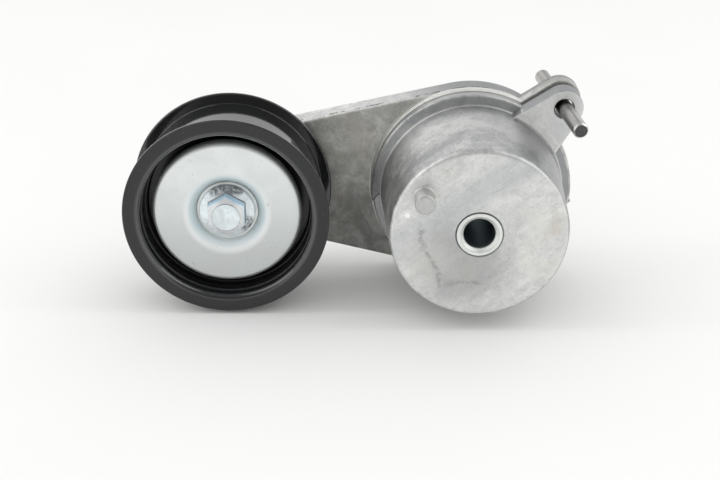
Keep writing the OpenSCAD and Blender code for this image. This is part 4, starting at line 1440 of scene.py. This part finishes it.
class TENSIONER_OT_pulley(bpy.types.Operator):
    """Turns the flanged pulley with its web, hub and stepped recess."""

    bl_idname = "tensioner.pulley"
    bl_label = "Pulley"

    def execute(self, context):
        pulley = context.scene.tensioner_pulley
        low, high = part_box("pulley_shell")
        race_low, race_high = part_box("bearing_outer_race")
        front = low.y
        rear = high.y
        outer = half_width("pulley_shell")
        rim = pulley.rim
        lip = pulley.lip
        belt = pulley.belt_radius
        inner = belt - rim
        bearing = pulley.bearing_radius
        hub = bearing + rim
        web = (front + rear) / 2
        hub_front = race_low.y
        hub_rear = race_high.y - FREE_GAP
        edge = pulley.edge_round
        root = pulley.root_round
        roll = pulley.inner_round
        material = pulley_coat(context.scene.tensioner_finishes, pulley, front, rear, outer)
        turned_piece("pulley_rim", rounded(
            (inner, front, roll), (outer, front, edge), (outer, front + lip, edge),
            (belt, front + lip, root), (belt, rear - lip, root),
            (outer, rear - lip, edge), (outer, rear, edge), (inner, rear, roll),
            (inner, web + rim, pulley.web_round), (hub, web + rim, 0.8 * MM), (hub, hub_rear, 0.4 * MM),
            (bearing, hub_rear, 0.3 * MM), (bearing, hub_front, 0.3 * MM), (hub, hub_front, 0.4 * MM),
            *self.recess(front, web, hub, inner, pulley.web_round), steps=6),
            (material, "pulley", "pulley_black", "pulley_shell"), PULLEY_CENTRE, even_angles(PULLEY_STEPS))
        return {"FINISHED"}

    def recess(self, front, web, hub, inner, web_round):
        """Corners of the front recess, from the hub out: a step, then two thin ledges up the wall."""
        step_r = inner - 1.2 * MM
        step_y = web - 5 * MM
        low = inner - 0.5 * MM
        high = inner - 0.25 * MM
        rise = 0.4 * MM
        corners = [(hub, web, web_round), (step_r, web, 0.5 * MM), (step_r, step_y, 0.4 * MM),
                   (low, step_y, 0.2 * MM)]
        for ledge in (front + 8.4 * MM, front + 5.2 * MM):
            corners += [(low, ledge, 0.2 * MM), (high, ledge - rise, 0.2 * MM)]
        corners.append((inner, front + 4.7 * MM, 0.1 * MM))
        return corners


class TENSIONER_OT_covers(bpy.types.Operator):
    """Presses the front dust cover and the rear dust shield."""

    bl_idname = "tensioner.covers"
    bl_label = "Dust covers"

    def execute(self, context):
        pulley = context.scene.tensioner_pulley
        sheet = pulley.sheet
        zinc = zinc_sheet(context.scene.tensioner_finishes, pulley.dish_radius)
        low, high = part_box("front_dust_cover")
        rim = half_width("front_dust_cover")
        face = low.y
        seat = high.y - sheet
        skirt = face + pulley.cover_round + pulley.cover_skirt
        near = self.dish(pulley.seat_radius, pulley.dish_radius, face, seat)
        far = self.dish(pulley.seat_radius - 0.7 * sheet, pulley.dish_radius - 0.4 * sheet,
                        face + sheet, seat + sheet)
        turned_piece("front_cover", rounded(
            (pulley.bolt_hole, seat, 0.15 * MM), *near, (rim, face, pulley.cover_round),
            (rim, skirt, 0.3 * MM), (rim - sheet, skirt, 0.3 * MM),
            (rim - sheet, face + sheet, pulley.cover_round - sheet), *reversed(far),
            (pulley.bolt_hole, seat + sheet, 0.15 * MM), steps=10),
            (zinc, "arm", "zinc_sheet", "front_dust_cover"))
        low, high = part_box("rear_dust_shield")
        rim = half_width("rear_dust_shield")
        step = half_width("pulley_spacer") + 0.6 * MM
        hole = pulley.bearing_bore + SEAT_FIT
        turned_piece("rear_shield", rounded(
            (hole, low.y, 0.1 * MM), (step + sheet, low.y, 0.3 * MM),
            (step + sheet, high.y - sheet, 0.2 * MM), (rim, high.y - sheet, 0.25 * MM),
            (rim, high.y, 0.25 * MM), (step, high.y, 0.3 * MM),
            (step, low.y + sheet, 0.2 * MM), (hole, low.y + sheet, 0.1 * MM)),
            (zinc, "arm", "zinc_sheet", "rear_dust_shield"))
        return {"FINISHED"}

    def dish(self, inner, outer, face, seat):
        """Corners of the dish's wall, which leaves the face softly and falls ever steeper to the seat."""
        steps = 14
        steepest = 2 * math.atan2(seat - face, outer - inner)
        bend = (outer - inner) / math.sin(steepest)
        corners = []
        for step in range(steps + 1):
            fall = steepest * (1 - step / steps)
            corners.append((outer - bend * math.sin(fall), face + bend * (1 - math.cos(fall)), 0))
        return corners


class TENSIONER_OT_bolt(bpy.types.Operator):
    """Forges the flanged hexagon bolt, and turns its washer and spacer."""

    bl_idname = "tensioner.bolt"
    bl_label = "Bolt, washer and spacer"

    def execute(self, context):
        pulley = context.scene.tensioner_pulley
        finishes = context.scene.tensioner_finishes
        low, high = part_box("pulley_bolt")
        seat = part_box("bolt_washer")[0].y
        rim = half_width("pulley_bolt")
        half_flats = pulley.across_flats / 2
        top_radius = half_flats - 1.6 * MM
        slope = 0.6
        blunt = 0.985
        corner = blunt * half_flats / math.cos(HALF_FLAT)
        cone_top = seat - pulley.bolt_flange - pulley.bolt_cone

        def section(turn):
            """Section of the bolt at an angle, where the hexagon has a corner straight up."""
            from_flat = (turn - HALF_FLAT) % (2 * HALF_FLAT) - HALF_FLAT
            side = min(half_flats / math.cos(from_flat), corner)
            shoulder = low.y + slope * (side - top_radius)
            return rounded(
                (0, low.y, 0), (top_radius, low.y, 0.5 * MM), (side, shoulder, 0.25 * MM),
                (side, cone_top + 0.1 * MM, 0.35 * MM), (rim, seat - pulley.bolt_flange, 0.35 * MM),
                (rim, seat, 0.3 * MM), (pulley.bolt_radius, seat, 0), (pulley.bolt_radius, high.y, 0.8 * MM),
                (0, high.y, 0), closed=False)

        zinc = bolt_zinc(finishes, half_flats, top_radius, cone_top)
        turned_piece("hex_bolt", section, (zinc, "arm", "zinc_steel", "pulley_bolt"))
        plain = plain_zinc(finishes)
        hole = pulley.bolt_hole
        low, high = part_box("bolt_washer")
        radius = half_width("bolt_washer")
        turned_piece("flat_washer", rounded(
            (hole, low.y, 0.1 * MM), (radius, low.y, 0.35 * MM), (radius, high.y, 0.2 * MM),
            (hole, high.y, 0.1 * MM)), (plain, "arm", "zinc_steel", "bolt_washer"))
        low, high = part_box("pulley_spacer")
        shoulder = half_width("pulley_spacer")
        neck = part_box("rear_dust_shield")[0].y + pulley.sheet
        bore = pulley.bearing_bore
        turned_piece("bearing_spacer", rounded(
            (hole, low.y, 0.2 * MM), (bore, low.y, 0.3 * MM), (bore, neck, 0),
            (shoulder, neck, 0.2 * MM), (shoulder, high.y, 0.4 * MM),
            (hole, high.y, 0.2 * MM)), (plain, "arm", "zinc_steel", "pulley_spacer"))
        return {"FINISHED"}


class TENSIONER_OT_lock_pin(bpy.types.Operator):
    """Turns the chamfered lock pin along its tilted axis."""

    bl_idname = "tensioner.lock_pin"
    bl_label = "Lock pin"

    def execute(self, context):
        lugs = context.scene.tensioner_lugs
        half = lugs.pin_length / 2
        tip = lugs.pin_radius - lugs.pin_chamfer
        bm = bmesh.new()
        lathe(bm, rounded(
            (0, -half, 0), (tip, -half, 0.12 * MM), (lugs.pin_radius, -half + lugs.pin_chamfer, 0.2 * MM),
            (lugs.pin_radius, half - lugs.pin_chamfer, 0.2 * MM), (tip, half, 0.12 * MM), (0, half, 0),
            closed=False), angles=even_angles(PIN_STEPS))
        turn = PIN_ALONG.to_track_quat("Y", "Z").to_matrix().to_4x4()
        bmesh.ops.transform(bm, matrix=Matrix.Translation(PIN_AT) @ turn, verts=bm.verts)
        material = ground_pin_steel(context.scene.tensioner_finishes, lugs.pin_length)
        finish_piece(as_object("steel_pin", bm), material, "lock_pin", "pin_steel", "lock_pin")
        return {"FINISHED"}


class TENSIONER_OT_bearing(bpy.types.Operator):
    """Sets the bearing's balls on their circle, and finishes its races, cage and seals."""

    bl_idname = "tensioner.bearing"
    bl_label = "Bearing"

    def execute(self, context):
        pulley = context.scene.tensioner_pulley
        finishes = context.scene.tensioner_finishes
        steel = bearing_steel(finishes)
        grower = Grower("ball_circle")
        count = grower.input("Balls", "NodeSocketInt", pulley.balls)
        pitch = grower.input("Pitch radius", "NodeSocketFloat", pulley.ball_pitch)
        size = grower.input("Ball radius", "NodeSocketFloat", pulley.ball_radius)
        ring = grower.node("GeometryNodeMeshCircle", {"fill_type": "NONE"},
                           {"Vertices": count, "Radius": pitch})
        upright = grower.node("GeometryNodeTransform", None, {
            "Geometry": ring, "Rotation": (math.pi / 2, 0, 0), "Translation": tuple(PULLEY_AT)})
        ball = grower.node("GeometryNodeMeshUVSphere", None, {"Segments": 40, "Rings": 24, "Radius": size})
        balls = grower.node("GeometryNodeInstanceOnPoints", None, {"Points": upright, "Instance": ball})
        obj = grower.grown("steel_balls", balls, steel)
        finish_piece(obj, steel, "ball_set", "bearing_steel", "bearing_balls")
        refinish(steel, "bearing_outer_race", "bearing_inner_race")
        refinish(pressed_cage_steel(finishes), "bearing_cage")
        rubber = moulded("seal_rubber_skin", shade(finishes.rubber, 1.5), finishes.rubber, 0.5)
        refinish(rubber, "front_bearing_seal", "rear_bearing_seal")
        return {"FINISHED"}


class TENSIONER_OT_bushes(bpy.types.Operator):
    """Finishes the plastic bushes, the damper ring and the thrust washer."""

    bl_idname = "tensioner.bushes"
    bl_label = "Bushes and damper"

    def execute(self, context):
        finishes = context.scene.tensioner_finishes
        dark = moulded("damper_plastic_skin", shade(finishes.plastic, 1.5), finishes.plastic, 0.42)
        pale = moulded("bush_plastic_skin", finishes.bush, shade(finishes.bush, 0.82), 0.38)
        refinish(dark, "spring_bush", "damper_ring")
        refinish(pale, "front_pivot_bush", "rear_pivot_bush")
        refinish(plain_zinc(finishes), "thrust_washer")
        return {"FINISHED"}


class TENSIONER_OT_stage(bpy.types.Operator):
    """Sets the floor, the soft lamps, the even surround and the camera."""

    bl_idname = "tensioner.stage"
    bl_label = "Stage"

    def execute(self, context):
        scene = context.scene
        stage = scene.tensioner_stage
        scene.view_settings.view_transform = "Standard"
        self.floor(stage)
        self.surround(scene, stage)
        self.lamp("lamp_left", -1, stage)
        self.lamp("lamp_right", 1, stage)
        self.camera(scene, stage)
        return {"FINISHED"}

    def camera(self, scene, stage):
        """A level camera that looks down on the tensioner from the front."""
        camera = bpy.data.objects.new("camera", bpy.data.cameras.new("camera"))
        camera.data.sensor_width = 36.0
        camera.data.lens = stage.lens
        camera.data.clip_start = 0.01
        camera.location = stage.camera_at
        camera.rotation_euler = (math.pi / 2 - stage.camera_drop, 0, 0)
        scene.collection.objects.link(camera)
        scene.camera = camera

    def floor(self, stage):
        """A wide pale floor just under the lowest point."""
        reach = 3.0
        under = 0.05 * MM
        bm = bmesh.new()
        bmesh.ops.create_grid(bm, x_segments=8, y_segments=8, size=reach)
        bmesh.ops.translate(bm, vec=(0, 0, CAD_BOX[0].z - under), verts=bm.verts)
        floor = as_object("floor", bm)
        paint = Paint("floor_paper", {"Roughness": 0.75, "Specular IOR Level": 0.2})
        cloud = paint.noise(6, 3, 0.5)
        paint.base = paint.mix(cloud.fade(0.3, 0.7), shade(stage.floor, 0.985), stage.floor)
        floor.data.materials.append(paint.done())

    def surround(self, scene, stage):
        """A world that the camera sees as white, and gloss as a white room with two dark parts."""
        world = bpy.data.worlds.new("studio")
        world.use_nodes = True
        scene.world = world
        wiring = Wiring(world.node_tree)
        way = wiring.node("ShaderNodeTexCoord", out="Generated")

        def dim(aim, wide, depth):
            """A dark part of the room, some degrees wide about its aim, darkest in its core."""
            core = 0.4 * wide
            near = wiring.node("ShaderNodeVectorMath", {"operation": "DOT_PRODUCT"},
                               {0: way, 1: Vector(aim).normalized()}, out="Value")
            return near.fade(math.cos(math.radians(wide)), math.cos(math.radians(core))) * depth

        ahead = dim((0.0, -0.85, 0.53), 46, stage.dark)
        overhead = dim((0.0, -0.25, 0.97), 38, 0.8 * stage.dark)
        room = 1 - ahead.most(overhead)
        path = wiring.node("ShaderNodeLightPath").socket.node
        seen = Value(wiring, path.outputs["Is Camera Ray"])
        seen = seen.most(Value(wiring, path.outputs["Is Transmission Ray"]))
        gloss = Value(wiring, path.outputs["Is Glossy Ray"])
        level = seen.most(gloss * room) + (1 - seen.most(gloss)) * stage.ambient
        background = world.node_tree.nodes["Background"]
        background.inputs["Color"].default_value = (1.0, 1.0, 1.0, 1.0)
        world.node_tree.links.new(level.socket, background.inputs["Strength"])

    def lamp(self, name, side, stage):
        """A tall soft lamp to one side of the camera, which shines on the tensioner's middle."""
        at = Vector((stage.camera_at[0] + side * stage.lamp_aside, -stage.lamp_ahead, stage.lamp_up))
        aim = (CAD_BOX[0] + CAD_BOX[1]) / 2 - at
        data = bpy.data.lights.new(name, "AREA")
        data.shape = "RECTANGLE"
        data.size = stage.lamp_wide
        data.size_y = stage.lamp_tall
        data.energy = stage.lamp_power
        lamp = bpy.data.objects.new(name, data)
        lamp.location = at
        lamp.rotation_euler = aim.to_track_quat("-Z", "Y").to_euler()
        bpy.context.scene.collection.objects.link(lamp)


PIECE_OPERATORS = (
    TENSIONER_OT_stage,
    TENSIONER_OT_drum,
    TENSIONER_OT_pivot_steel,
    TENSIONER_OT_spring,
    TENSIONER_OT_arm,
    TENSIONER_OT_pulley,
    TENSIONER_OT_covers,
    TENSIONER_OT_bolt,
    TENSIONER_OT_lock_pin,
    TENSIONER_OT_bearing,
    TENSIONER_OT_bushes,
)


class TENSIONER_PT_pieces(bpy.types.Panel):
    """Lists the pieces of the tensioner."""

    bl_idname = "TENSIONER_PT_pieces"
    bl_label = "Belt tensioner"
    bl_space_type = "VIEW_3D"
    bl_region_type = "UI"
    bl_category = "Tensioner"

    def draw(self, context):
        for operator in PIECE_OPERATORS:
            self.layout.operator(operator.bl_idname)


CLASSES = (*SETTINGS.values(), *PIECE_OPERATORS, TENSIONER_PT_pieces)


def register():
    """Adds the settings, the operators and the panel."""
    for cls in CLASSES:
        bpy.utils.register_class(cls)
    for name, group in SETTINGS.items():
        setattr(bpy.types.Scene, name, PointerProperty(type=group))


def unregister():
    """Takes away what register adds."""
    for name in SETTINGS:
        delattr(bpy.types.Scene, name)
    for cls in reversed(CLASSES):
        bpy.utils.unregister_class(cls)


def main():
    """Builds every piece in order."""
    register()
    for operator in PIECE_OPERATORS:
        group, name = operator.bl_idname.split(".")
        getattr(getattr(bpy.ops, group), name)()


if __name__ == "__main__":
    main()
